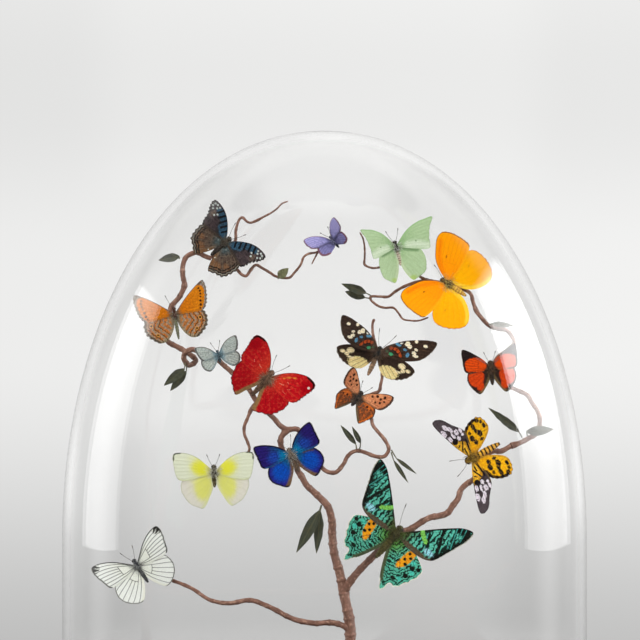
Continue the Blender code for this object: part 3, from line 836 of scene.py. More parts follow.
class Growth(Enum):
    """Small shapes that grow all over a surface, each from its own Geometry Nodes tree."""

    HAIR = "hair"
    WART = "wart"

    def tree(self) -> bpy.types.NodeTree:
        """The tree that scatters the shape over a mesh.

        The mesh's attributes say how dense the shapes stand (dense), where they point (lie) and
        how long they are (long).

        Returns:
            A node group whose inputs are a surface, a density, a length, a thickness, a seed and a
            material.
        """
        tree = bpy.data.node_groups.new(self.value, "GeometryNodeTree")
        kinds = {"Surface": "Geometry", "Density": "Float", "Length": "Float", "Thickness": "Float",
                 "Seed": "Int", "Finish": "Material"}
        for name, kind in kinds.items():
            tree.interface.new_socket(name, in_out="INPUT", socket_type="NodeSocket" + kind)
        tree.interface.new_socket("Grown", in_out="OUTPUT", socket_type="NodeSocketGeometry")
        given = tree.nodes.new("NodeGroupInput").outputs
        result = tree.nodes.new("NodeGroupOutput").inputs

        nodes = Nodes(tree)

        def add(kind: str, inputs: dict[str | int, object], output: int = 0,
                **settings: object) -> bpy.types.NodeSocket:
            """One output of a new node."""
            return nodes.new(kind, inputs, **settings).outputs[output]

        def named(name: str, kind: str = "FLOAT") -> bpy.types.NodeSocket:
            """One of the mesh's attributes."""
            return add("GeometryNodeInputNamedAttribute", {"Name": name}, data_type=kind)

        dense = nodes.times(named("dense"), given["Density"])
        points = add("GeometryNodeDistributePointsOnFaces",
                     {"Mesh": given["Surface"], "Density": dense, "Seed": given["Seed"]})
        if self is Growth.HAIR:
            shape = add("GeometryNodeMeshCone",
                        {"Vertices": 3, "Radius Bottom": given["Thickness"],
                         "Radius Top": HAIR_TIP, "Depth": given["Length"]})
            stray = 0.35
        else:
            ball = add("GeometryNodeMeshIcoSphere",
                       {"Radius": given["Thickness"], "Subdivisions": 1})
            shape = add("GeometryNodeTransform", {0: ball, "Scale": (1.0, 1.0, 0.45)})
            stray = 0.05
        off = add("FunctionNodeRandomValue", {"Min": (-stray,) * 3, "Max": (stray,) * 3,
                                              "Seed": given["Seed"]}, data_type="FLOAT_VECTOR")
        way = add("ShaderNodeVectorMath", {0: named("lie", "FLOAT_VECTOR"), 1: off})
        turn = add("FunctionNodeAlignRotationToVector", {"Vector": way}, axis="Z")
        size = add("FunctionNodeRandomValue", {2: 0.55, 3: 1.25, "Seed": given["Seed"]}, 1)
        scale = nodes.times(named("long"), size)
        if self is Growth.HAIR:
            scale = add("ShaderNodeCombineXYZ", {0: 1.0, 1: 1.0, 2: scale})
        placed = add("GeometryNodeInstanceOnPoints",
                     {"Points": points, "Instance": shape, "Rotation": turn, "Scale": scale})
        shade = add("FunctionNodeRandomValue", {"Seed": 7}, 1)
        shaded = add("GeometryNodeStoreNamedAttribute",
                     {"Geometry": placed, "Name": "shade", "Value": shade}, domain="INSTANCE")
        real = add("GeometryNodeRealizeInstances", {0: shaded})
        done = add("GeometryNodeSetMaterial", {"Geometry": real, "Material": given["Finish"]})
        tree.links.new(done, result["Grown"])
        return tree

    def grow(self, name: str, surface: Skin, finish: bpy.types.Material,
             **sizes: float) -> bpy.types.Object:
        """Grow the shapes on a surface, as a plain mesh.

        Args:
            name: the new piece's name.
            surface: what they grow on, which is removed again.
            finish: their material.
            **sizes: density on a square millimetre, length and thickness in millimetres, and seed.

        Returns:
            The piece.
        """
        ground = surface.make(name + "_ground", [])
        tree = bpy.data.node_groups.get(self.value) or self.tree()
        step = ground.modifiers.new(self.value, "NODES")
        step.node_group = tree
        units = {"Density": 1e6, "Length": MM, "Thickness": MM}
        given = {key.capitalize(): value for key, value in sizes.items()} | {"Finish": finish}
        for socket in tree.interface.items_tree:
            if socket.name in given:
                size = given[socket.name]
                if socket.name in units:
                    size *= units[socket.name]
                step[socket.identifier] = size
        graph = bpy.context.evaluated_depsgraph_get()
        mesh = bpy.data.meshes.new_from_object(ground.evaluated_get(graph), depsgraph=graph)
        mesh.name = name
        for key in ("dense", "lie", "long"):
            if key in mesh.attributes:
                mesh.attributes.remove(mesh.attributes[key])
        bpy.data.objects.remove(ground)
        return put(name, mesh)


@dataclass(frozen=True)
class Body:
    """An insect's body, as far as its wings leave it open.

    Attributes:
        head, tail: how far it reaches before and behind the middle of the thorax.
        girth: the thorax's radius.
        antenna: length of an antenna.
        skin, band: the abdomen's colour and that of its rings, and `banding` how strong they are.
        fur, wool: the colours of the fur on the thorax and by the wings' roots.
        fringe: the colour of the fine hairs along the margins.
        shaggy: the fur's length.
    """

    head: float
    tail: float
    girth: float
    antenna: float
    skin: Colour
    band: Colour
    fur: Colour
    wool: Colour
    fringe: Colour
    banding: float = 0.35
    shaggy: float = 1.0

    def profile(self) -> np.ndarray:
        """(place along the body, radius) from the tail's tip to the front of the head.

        Returns:
            One row for each ring.
        """
        girth = self.girth
        table = ((self.tail, 0.1), (self.tail + 0.5, 0.36), (self.tail * 0.66, 0.7),
                 (self.tail * 0.4, 0.74), (-girth * 0.95, 0.6), (-girth * 0.45, 0.92),
                 (girth * 0.3, 1.0), (self.head - girth * 1.15, 0.6),
                 (self.head - girth * 0.6, 0.7), (self.head, 0.3))
        curve = even(smooth([(y, share * girth) for y, share in table]), BODY_ROWS)
        segment = -self.tail / SEGMENTS
        rings = 0.05 * girth * np.cos(2 * pi * curve[:, 0] / segment) * (curve[:, 0] < -girth)
        curve[:, 1] = np.maximum(curve[:, 1] + rings, 0.05)
        return curve

    @staticmethod
    def turned(curve: np.ndarray, sides: int) -> tuple[np.ndarray, np.ndarray]:
        """Flattened rings round the body's axis, and the direction in which each point faces.

        Args:
            curve: (place, radius) of each ring.
            sides: how many points a ring has.

        Returns:
            The rings and the directions.
        """
        middle = np.zeros(len(curve))
        rings, outward = tube_rings(np.stack([middle, curve[:, 0], middle], 1), curve[:, 1], sides)
        rings[..., 2] *= BODY_FLATNESS
        return rings, outward

    def trunk(self, skin: Skin) -> None:
        """Abdomen, thorax and head as one body, with its eyes, antennae and legs.

        Args:
            skin: what they are added to.
        """
        curve = self.profile()
        rings, _ = self.turned(curve, 16)
        along = np.broadcast_to(curve[:, :1], rings.shape[:2])
        ends = (0.0, self.tail - 0.1, 0.0), (0.0, self.head + 0.15, 0.0)
        skin.loft(rings, ends, 0, along=along, segment=along / (-self.tail / SEGMENTS))
        for side in (1, -1):
            self.eye(skin, side)
            self.feeler(skin, side)
            for place, splay, size in LEGS:
                self.leg(skin, side, place * self.girth, radians(splay), size * self.girth)

    def eye(self, skin: Skin, side: int) -> None:
        """One round, dark eye.

        Args:
            skin: what it is added to.
            side: 1 for the right one, -1 for the left.
        """
        radius = self.girth * 0.34
        middle = np.array([side * self.girth * 0.5, self.head - self.girth * 0.55,
                           self.girth * 0.12])
        turns = np.linspace(0.25, pi - 0.25, 9)
        route = middle + np.outer(-np.cos(turns), (0, 0, radius))
        rings, _ = tube_rings(route, radius * np.sin(turns), 12)
        skin.loft(rings, tuple(tuple(middle + (0, 0, end * radius)) for end in (-1, 1)), 1)

    def feeler(self, skin: Skin, side: int) -> None:
        """One antenna, bowed a little, with its club.

        Args:
            skin: what it is added to.
            side: 1 for the right one, -1 for the left.
        """
        spread = radians(ANTENNA_SPREAD)
        root = np.array([side * self.girth * 0.2, self.head - self.girth * 0.7, self.girth * 0.2])
        way = np.array([side * sin(spread), cos(spread), 0.12]) * self.antenna
        share = np.linspace(0, 1, 26)[:, None]
        bow = np.array([side * cos(spread), -sin(spread), 0.0]) * self.antenna * 0.035
        route = root + way * share + bow * np.sin(pi * share)
        club = np.interp(share[:, 0], *CLUB)
        joints = 1 + 0.12 * np.cos(share[:, 0] * self.antenna / 0.45 * 2 * pi)
        rings, _ = tube_rings(route, club * joints, 8)
        skin.loft(rings, (None, tuple(route[-1] + way * 0.02)), 2)

    def leg(self, skin: Skin, side: int, place: float, splay: float, size: float) -> None:
        """One folded leg under the thorax, over its knee and its foot to its toe.

        Args:
            skin: what it is added to.
            side: 1 for a right leg, -1 for a left one.
            place: where its hip is along the body.
            splay: how far it points forward.
            size: its size.
        """
        hip = (side * 0.3 * self.girth, place, -0.5 * self.girth)
        points = [(side * (aside + out * cos(splay)) * size, place + on * sin(splay) * size,
                   down * size) for aside, out, on, down in LEG_JOINTS]
        route = even(smooth([hip, *points]), LEG_ROWS)
        radii = np.interp(np.linspace(0, 1, LEG_ROWS), *LEG_RADII)
        rings, _ = tube_rings(route, radii, 6)
        skin.loft(rings, (None, None), 2)

    def scalp(self, skin: Skin) -> None:
        """The furry part of the body, for the coat to grow on.

        Args:
            skin: what it is added to.
        """
        curve = self.profile()
        curve = curve[curve[:, 0] > -self.girth * 1.6] * (1, 0.95)
        rings, outward = self.turned(curve, 12)
        lie = outward * 0.75 + np.array([0.0, -0.7, 0.1])
        long = np.broadcast_to(0.6 + 0.4 * np.cos(curve[:, :1] / self.girth), rings.shape[:2])
        dense = (outward[..., 2] > -0.5) * 1.0
        skin.loft(rings, dense=dense, lie=lie, long=long * self.shaggy, coat=Coat.FUR.value)

    def finishes(self, name: str) -> list[bpy.types.Material]:
        """The body's own skin, its eyes, and its antennae and legs.

        Args:
            name: the insect's name.

        Returns:
            The three materials.
        """
        made, nodes, shader = material(name + "_skin", 0.7)
        wave = nodes.math("SINE", nodes.times(nodes.value("segment"), 2 * pi))
        ring = nodes.times(nodes.rise(wave, 0.0, 0.75), self.banding)
        behind = nodes.rise(nodes.value("along"), -self.girth * 0.6, -self.girth * 1.2)
        colour = nodes.mix(nodes.times(ring, behind), self.skin, self.band)
        colour = nodes.mix(behind, self.fur, colour)
        powder = nodes.group(Effect.POWDER.tree, Colour=colour, Strength=0.6,
                             Vector=nodes.stretch(nodes.places(), *[900.0] * 3))
        dress(nodes, shader, powder.outputs["Colour"], powder.outputs["Height"], 0.12)
        eyes, nodes, shader = material(name + "_eyes", 0.22, Coat_Weight=0.4)
        facets = nodes.add("TexVoronoi", {"Vector": nodes.places(), "Scale": 9000.0})
        tone = nodes.mix(facets.outputs["Distance"], "1c1512", "3a2a20")
        dress(nodes, shader, tone, facets.outputs["Distance"], 0.02)
        limbs, nodes, shader = material(name + "_limbs", 0.5)
        grain = nodes.noise(nodes.places(), 2500.0)
        dress(nodes, shader, nodes.mix(grain, "221c1a", "5a4c44"), grain, 0.03)
        return [made, eyes, limbs]


@dataclass(frozen=True)
class Species:
    """What the insects of one kind have in common."""

    fore: Wing
    hind: Wing
    body: Body


@dataclass(frozen=True)
class Insect:
    """One mounted insect: its kind, where its thorax is and how it is spread.

    `heading` turns the head from +X towards +Z, `pitch` lifts the head forward and `roll` the left
    side. `lift` raises the (right, left) wings off the body's plane, and the two turns swing the
    (right, left) fore and hind wings forward. `rise` raises the (right, left) fore wings more than
    the hind ones.
    """

    name: str
    kind: Species
    place: Point
    heading: float
    pitch: float = 0.0
    roll: float = 0.0
    lift: Point = (10.0, 10.0)
    fore_turn: Point = (0.0, 0.0)
    hind_turn: Point = (0.0, 0.0)
    rise: Point = (0.0, 0.0)

    def posed(self, places: np.ndarray) -> np.ndarray:
        """Places on the insect, whose head is along +Y and back along +Z, as they are mounted.

        Args:
            places: an array of points.

        Returns:
            The points where they belong.
        """
        pose = Matrix.Rotation(radians(90), 3, "X")
        for angle, axis in ((self.heading - 90, "Z"), (self.pitch, "X"), (self.roll, "Y")):
            pose = pose @ Matrix.Rotation(radians(angle), 3, axis)
        return places @ np.array(pose).T + self.place

    def spread(self, places: np.ndarray, side: Side, fore: bool) -> np.ndarray:
        """Places over a flat right wing, on the spread wing of that side.

        Args:
            places: an array of points.
            side: the side.
            fore: whether it is a fore wing.

        Returns:
            The points where they belong.
        """
        which = 0 if side is Side.RIGHT else 1
        turn = (self.fore_turn if fore else self.hind_turn)[which]
        lift = self.lift[which] + (self.rise[which] if fore else 0.0)
        placing = (Matrix.Rotation(-radians(lift) * side.value, 3, "Y")
                   @ Matrix.Rotation(radians(turn) * side.value, 3, "Z"))
        return (places * (side.value, 1, 1)) @ np.array(placing).T

    def build(self) -> None:
        """Wings, body and coat."""
        wings, scalp = Skin(), Skin()
        for side in Side:
            for fore in (False, True):
                self.add_wing(wings, scalp, side, fore)
        finishes = [wing.finish(f"{self.name}_{which}")
                    for wing, which in ((self.kind.hind, "hind"), (self.kind.fore, "fore"))]
        wings.points = [self.posed(part) for part in wings.points]
        keep(wings.make(self.name + "_wings", finishes), self.name, self.name)
        trunk = Skin()
        self.kind.body.trunk(trunk)
        trunk.points = [self.posed(part) for part in trunk.points]
        keep(trunk.make(self.name + "_body", self.kind.body.finishes(self.name)), self.name)
        self.kind.body.scalp(scalp)
        origin = self.posed(np.zeros(3))
        scalp.points = [self.posed(part) for part in scalp.points]
        scalp.values["lie"] = [(start, self.posed(part) - origin)
                               for start, part in scalp.values["lie"]]
        coat = Growth.HAIR.grow(self.name + "_coat", scalp, self.coat(), density=FUR_DENSITY,
                                length=1.6, thickness=0.08, seed=len(self.name))
        keep(coat, self.name)

    def add_wing(self, skin: Skin, scalp: Skin, side: Side, fore: bool) -> None:
        """One wing's thin shell, and the parts of its upper face that carry hairs.

        Args:
            skin: what the shell is added to.
            scalp: what the hairy parts are added to.
            side: the side.
            fore: whether it is a fore wing.
        """
        wing = self.kind.fore if fore else self.kind.hind
        ribs = FORE_RIBS if fore else HIND_RIBS
        flat, values = wing.plan(ribs)
        steps, columns = flat.shape[:2]
        across = np.broadcast_to(np.linspace(0, 1, columns), (steps, columns))
        dome = np.sin(pi * across) * values["reach"]
        pleats = PLEAT * np.cos(2 * pi * ribs * across) * dome ** 0.5
        sag = ARCH * dome * (0.6 + 0.4 * ripple(flat, 26.0, len(self.name)))
        height = WING_ROOT + (FORE_OVER_HIND if fore else 0.0) + pleats + sag
        half = WING_SHELL / 2
        upper = np.concatenate([flat, (height + half)[..., None]], -1)
        lower = np.concatenate([flat, (height - half)[..., None]], -1)
        rings = self.spread(wrapped(upper, lower), side, fore)
        both = {key: wrapped(value) for key, value in values.items()}
        for i, mark in enumerate(wing.marks):
            if mark.only not in (None, side):
                both[f"mark_{i}"] = np.full(rings.shape[:2], OUTSIDE)
        under = np.zeros(rings.shape[:2])
        under[:, columns:] = 1.0
        skin.loft(rings, paint=int(fore), under=under, **both)
        self.add_scalp(scalp, wing, upper, values, side, fore)

    def add_scalp(self, scalp: Skin, wing: Wing, upper: np.ndarray, values: dict[str, np.ndarray],
                  side: Side, fore: bool) -> None:
        """Thin strips over the wing for the fur by its root and the fringe along its margin.

        Args:
            scalp: what they are added to.
            wing: the wing.
            upper: its upper face.
            values: what its plan gives for each place.
            side: the side.
            fore: whether it is a fore wing.
        """
        steps = len(upper)
        outward = unit(np.gradient(upper, axis=0))
        near = max(3, int(steps * (WOOL_REACH if fore else 0.3)))
        wool = np.clip(1.2 - values["reach"][:near] / WOOL_REACH, 0, 1)
        if not fore:
            wool = np.maximum(wool, np.clip(1.4 - values["inner"][:near] / 1.2, 0, 1))
        fringe = FRINGE_DENSITY / FUR_DENSITY * (wing.length / 30)
        parts = ((Coat.WOOL, 0, near, wool * 0.7, 1.1 * self.kind.body.shaggy, 0.35),
                 (Coat.FRINGE, steps - 2, steps, fringe, 0.3, 0.02))
        for coat, start, end, dense, long, rise in parts:
            rows = upper[start:end]
            rings = wrapped(rows + (0, 0, 0.01), rows - (0, 0, 0.03))
            lie = wrapped(outward[start:end] + (0, 0, rise))
            grown = np.zeros(rings.shape[:2])
            grown[:, :rows.shape[1]] = dense
            scalp.loft(self.spread(rings, side, fore), dense=grown,
                       lie=self.spread(lie, side, fore), long=long, coat=coat.value)

    def coat(self) -> bpy.types.Material:
        """The hairs' material: fur, wool by the wings' roots or fringe.

        Returns:
            The material.
        """
        body = self.kind.body
        made, nodes, shader = material(self.name + "_coat", 0.75, Sheen_Weight=0.1)
        which, shade = nodes.value("coat"), nodes.value("shade")
        pale = nodes.math("MAXIMUM", nodes.rise(which, 0.4, 0.6), nodes.rise(shade, 0.6, 0.72))
        colour = nodes.mix(pale, body.fur, body.wool)
        colour = nodes.mix(nodes.rise(which, 1.4, 1.6), colour, body.fringe)
        nodes.feed(shader.inputs["Base Color"], nodes.mix(0.6, colour, shade, "OVERLAY"))
        return made


# --- the fifteen kinds ---------------------------------------------------------------------------
DARK_BLUE = Species(
    fore=Wing(
        ((0, 0.5), (3, 5), (7, 9), (12, 12.5), (18, 14.5), (24.5, 14), (24.5, 10), (21.5, 5),
        (18.5, -2), (9, -1)), 5, 8, "2e2c2b", "463a3c", (0.35, 0.7), rim="1a181a", margin=0.8,
        costa=0.4, fold="40362f", inner=1.5, veins="1c1818", vein=0.4, streaks=0.5,
        mottle=("1c1a1b", 0.5), base=("4a4a44", 0.16), under="6a5c50", scallop=0.6, marks=(
        Mark("2e4a5e", strokes=((2.1, ((4, 3.5), (8, 7), (12, 9.8), (17, 11.4))), (1.3, ((6, 2.5),
            (10, 5.2)))), edge=0.7, jitter=1.8),
        Mark("5e4e44", ((19, 7.5, 1.6, 2.2),), edge=0.8, jitter=1.4),
        Mark("141416", strokes=((0.6, ((4.6, 6.6), (6.4, 3.2))), (0.65, ((7, 8.8), (9, 5))), (0.7,
            ((9.6, 10.8), (11.6, 6.6))), (0.7, ((12.4, 12.4), (14.6, 8))), (0.7, ((15.6, 13.4),
            (17.4, 9.6)))), edge=0.2, jitter=0.9),
        Mark("b4bab6", tuple((x, y, 0.65) for x, y in ((18.5, 12.8), (19.6, 11.4), (16.5, 9),
            (17.7, 7.3), (20.9, 13.1), (22.5, 12.6), (22.8, 10.9), (21.4, 9.6))), edge=0.15,
            jitter=0.6),
        Mark("a09a90", tuple((x, y, 0.3, 0.5, 20) for x, y in ((23.7, 12.2), (23.3, 10.2), (22, 8),
            (21, 5.8), (20.3, 3.6), (19.6, 1.4))), edge=0.12),
    )),
    hind=Wing(
        ((0, 0), (11, 2), (18, -1), (19, -6), (17, -13.5), (12.5, -16), (8, -18.5), (3, -11)), 2, 6,
        "3f3f3a", "54443a", (0.25, 0.6), rim="1e1a18", margin=0.6, fold="6e523a", inner=2.0,
        veins="8a7a68", streaks=0.5, mottle=("2a2422", 0.6), lines=(("8c887e", 1.2, 0.2), ("1e1a18",
        1.8, 0.4), ("1e1a18", 3.4, 0.4)), base=("46565a", 0.34), under="7a6a5a", scallop=0.8,
        marks=(
        Mark("6e4c34", ((9, -12, 3, 2.2), (13.5, -7.5, 2.4, 1.6), (5.5, -13, 1.6, 1.2)), edge=0.9,
            jitter=2.0),
        Mark("b4b2a8", ((4, -1.5, 0.5), (3.8, -10.2, 0.5)), edge=0.15),
    )),
    body=Body(5.5, -11.5, 2.2, 11.0, "372f2a", "1e1a18", "463c32", "5c5a52", "6a625a"),
)
VIOLET = Species(
    fore=Wing(
        ((0, 0), (3, 6), (7.5, 10.5), (11.5, 12.5), (14.5, 12.5), (14.5, 7), (11.5, 3.5), (5, 1.5)),
        4, 6, "66689a", "aea6dc", (0.05, 0.6), rim="86606a", margin=0.75, fold="6a6488", inner=1.0,
        veins="4e4e86", vein=0.4, streaks=0.3, powder=0.25, base=("4a4a60", 0.2), under="8c8896"),
    hind=Wing(
        ((0, 0), (5, 4), (10.5, 3.4), (12, 0), (11, -3), (7, -4.8), (4, -4), (1.5, -3)), 2, 5,
        "504c70", "8680b4", (0.1, 0.7), rim="885860", margin=1.2, veins="46446e", vein=0.45,
        streaks=0.3, powder=0.25, under="8c8890", marks=(
        Mark("3c2c34", tuple((x, y, 0.34) for x, y in ((11.1, 1.2), (10.9, -0.8), (9.9, -2.6),
            (8, -3.7), (5.8, -3.6))), edge=0.12),
        Mark("c8bcc0", tuple((x, y, 0.16) for x, y in ((11.7, 1.2), (11.4, -1.2), (10.3, -3.2),
            (8, -4.4))), edge=0.1),
    )),
    body=Body(4.2, -5.5, 1.2, 7.0, "282830", "44444e", "5a5a6e", "7c78a0", "8a7c8c"),
)
PALE_GREEN = Species(
    fore=Wing(
        ((0, 1), (4.5, 6.5), (9.5, 11), (15.5, 14), (20, 15), (25.5, 15.5), (22.8, 9.5), (21.5, 3),
        (20.5, -3.5), (9, -1.5)), 5, 8, "8cac7a", "a8bf94", (0.1, 0.7), rim="96b482", margin=0.3,
        costa=0.8, fold="aabf96", inner=1.0, veins="94ae80", vein=0.3, streaks=0.15, powder=0.1,
        base=("7a9a6a", 0.16), under="b6c8a4", marks=(
        Mark("ccd8be", strokes=((2.2, ((8, 1), (14, 0.5), (20, -2))),), edge=1.8, jitter=1.5),
        Mark("7d966e", ((13, 2.5, 0.5),)),
    )),
    hind=Wing(
        ((0, 0), (10, 1.5), (15.5, -3.5), (17.3, -10), (16, -16.5), (11.5, -19.5), (7.5, -21),
        (3.5, -16), (1, -9)), 2, 6, "8eae7c", "aabf96", (0.05, 0.6), rim="9cb686", margin=0.3,
        fold="b8c8a2", inner=2.0, veins="94ae80", vein=0.3, powder=0.1, base=("86a076", 0.16),
        under="b6c8a4", marks=(
        Mark("789669", strokes=((0.9, ((1, 0), (10, -2.5), (13, -3))),), edge=0.7),
        Mark("a5be6e", ((8, -19.5, 2, 1.5),), edge=0.9),
    )),
    body=Body(5.0, -11.0, 1.9, 9.0, "c4b09c", "4a4038", "2d2823", "d4d4c8", "a8b894", 0.8),
)
ORANGE = Species(
    fore=Wing(
        ((0, 0), (4.2, 8.5), (8.5, 14.3), (14.3, 18), (20.7, 20.9), (25.4, 20), (27.9, 15.4),
        (28.5, 5.8), (26.8, 0.5), (12.5, -2)), 5, 8, "fa9200", "f99a00", rim="55290e", margin=0.5,
        fold="f8a810", inner=1.0, veins="d27400", streaks=0.0, powder=0.12, base=("b4701e", 0.12),
        under="e8a848", scallop=0.15, marks=(
        Mark("f28000", strokes=((1.4, ((4, 6.5), (12, 14), (20, 18))),), edge=1.2, jitter=1.2),
        Mark("a85006", ((13.8, 9.7, 0.9, 0.45, 25),), edge=0.2),
    )),
    hind=Wing(
        ((0, 0), (12.2, 1), (20.7, -0.5), (25.4, -4.2), (26.1, -8.5), (24, -15.5), (18.8, -22.1),
        (14, -23.5), (7.5, -20.2), (2.4, -13.2)), 3, 7, "f8ac00", "f6a400", rim="d07a04",
        margin=0.3, fold="f6c432", inner=2.6, veins="dc8c00", vein=0.2, streaks=0.0, powder=0.12,
        base=("c89a3c", 0.14), under="e8b050", scallop=0.3, marks=(
        Mark("be6414", tuple((x, y, 0.3) for x, y in ((23.9, -2.4), (25.8, -6.6), (25.3, -11.8),
            (22.8, -17.5), (19.3, -21.7), (14.6, -23.1), (11, -21.8))), edge=0.2),
        Mark("e1960a", ((15.5, -7, 1, 0.6),), edge=0.4),
    )),
    body=Body(5.5, -14.0, 2.3, 11.0, "d7aa46", "8a5c26", "4a3420", "e0b868", "c87c1c", 0.6),
)
FRITILLARY = Species(
    fore=Wing(
        ((0, 1), (7, 7.5), (12.5, 12), (18, 15.8), (23, 18), (24.3, 13), (23, 5), (19.5, 0),
        (7, 0)), 4, 7, "c46c0e", "c87410", rim="544842", margin=1.3, costa=0.4, fold="b06a26",
        inner=0.8, veins="9a5010", vein=0.3, streaks=0.1, lines=(("9a968a", 0.9, 0.2),),
        base=("6a5038", 0.16), under="c09058", scallop=0.6, marks=(
        Mark("5a4c44", strokes=((0.9, ((19, 16.4), (22.4, 16.2), (23.4, 13))),), edge=0.5,
            jitter=1.6),
        Mark("8c867c", ((21.6, 15.4, 0.8), (22.6, 13.8, 0.6)), edge=0.3, jitter=1.0),
        Mark("32160c", ((19.3, 13.6, 0.65), (19.8, 11.9, 0.75), (19.7, 10, 0.7), (19.4, 8.1, 0.6),
            (18.8, 5.7, 0.8), (18.4, 3.2, 0.85), (17.6, 1.2, 0.6)), edge=0.15),
    )),
    hind=Wing(
        ((0, 0), (11, 3), (18, 1), (21, -4), (19.8, -10), (16.5, -13.2), (12.5, -15.8), (7, -15),
        (2.2, -8.5)), 2, 6, "b86c34", "b8682a", rim="57524a", margin=1.0, fold="8c7c62", inner=1.6,
        veins="6e4a30", vein=0.3, streaks=0.2, waves=("8a8674", 3.0, 0.75, 9.0), mottle=("6e4a34",
        0.6), lines=(("2e241e", 1.1, 0.22), ("34281e", 2.8, 0.25), ("34281e", 5.8, 0.25), ("34281e",
        8.6, 0.2)), base=("78684c", 0.25), under="b08c60", scallop=0.8, marks=(
        Mark("c8893c", ((12.5, -10.7, 1.2), (16, -4.3, 1.3)), edge=0.2),
        Mark("2c1a12", ((12.5, -10.7, 0.7), (16, -4.3, 0.8)), edge=0.15),
    )),
    body=Body(5.5, -15.0, 1.5, 10.0, "6e6e58", "4a4438", "4e2c20", "8c8478", "8a7a68"),
)
RED = Species(
    fore=Wing(
        ((0, 1), (5, 8.5), (10, 13.5), (16, 17), (20.5, 18), (25.5, 16.8), (26.5, 13.5), (25.5, 9),
        (22.3, -0.8), (10, -2.2)), 5, 8, "cc3022", "b80c18", (0.25, 0.7), rim="5e080e", margin=0.5,
        fold="c03024", inner=0.4, veins="760a10", vein=0.3, streaks=0.2, mottle=("da4c34", 0.4),
        powder=0.25, base=("7a4c30", 0.16), under="a05040", scallop=0.4, marks=(
        Mark("a20010", ((22, 12, 3.6, 4),), edge=1.5, jitter=1.5),
        Mark("240a0a", strokes=((0.7, ((19, 17.4), (24.6, 16.4), (25.8, 13.2))),), edge=0.4,
            jitter=1.2),
        Mark("d89a80", strokes=((0.12, ((8, 3), (11, 4))), (0.12, ((11, 7), (13, 6.2))), (0.1,
            ((14, 3), (15.6, 4.4))), (0.12, ((12, 0.6), (15, 0.2)))), edge=0.12),
        Mark("d07a30", ((10, 9.5, 1.6, 0.5, 40), (13, 11.8, 1.2, 0.4, 30), (8, 7.4, 0.9, 0.4, 40)),
            edge=0.35, jitter=1.4, only=Side.RIGHT),
        # a small pale dot near the apex of the right fore wing alone
        Mark("e6dcd2", ((23.6, 12.7, 0.8),), only=Side.RIGHT),
    )),
    hind=Wing(
        ((0, 0), (12, 2), (19, 0), (21, -6), (19.5, -11), (16.5, -16), (12, -18.7), (6, -21),
        (3.5, -14), (1, -7)), 2, 7, "c62c22", "a80614", (0.2, 0.65), rim="5a0a10", margin=0.5,
        fold="8a6a44", inner=2.4, veins="760a10", vein=0.3, streaks=0.2, mottle=("d04230", 0.35),
        powder=0.25, base=("7a4c30", 0.2), under="9a5a44", scallop=0.5),
    body=Body(6.5, -14.5, 2.3, 12.0, "5a4232", "32241c", "6e5240", "a08068", "7e2024", shaggy=1.8),
)
GREY_BLUE = Species(
    fore=Wing(
        ((0, 0.5), (4, 5.7), (8, 8.6), (13.5, 9.6), (14, 6), (12, 0.5), (5, -0.5)), 3, 5, "7e98a4",
        "a2a8a2", (0.05, 0.45), rim="544f4b", margin=1.1, costa=0.5, fold="7c8686", inner=0.8,
        veins="6c767a", vein=0.4, streaks=0.35, powder=0.3, base=("5f7882", 0.25), under="a0a8a8"),
    hind=Wing(
        ((0, 0), (7, 1.5), (12, -0.5), (13.2, -3.5), (11.5, -7.5), (7.5, -8.7), (3, -5)), 2, 5,
        "7492a0", "a2a8a2", (0.1, 0.55), rim="544f4b", margin=0.9, fold="7e8c90", inner=1.0,
        veins="6c767a", vein=0.4, streaks=0.35, powder=0.3, base=("647d87", 0.28), under="a0a8a8"),
    body=Body(3.6, -4.8, 1.2, 7.0, "323e44", "1e262a", "3c4a52", "6e848c", "a0a6a6"),
)
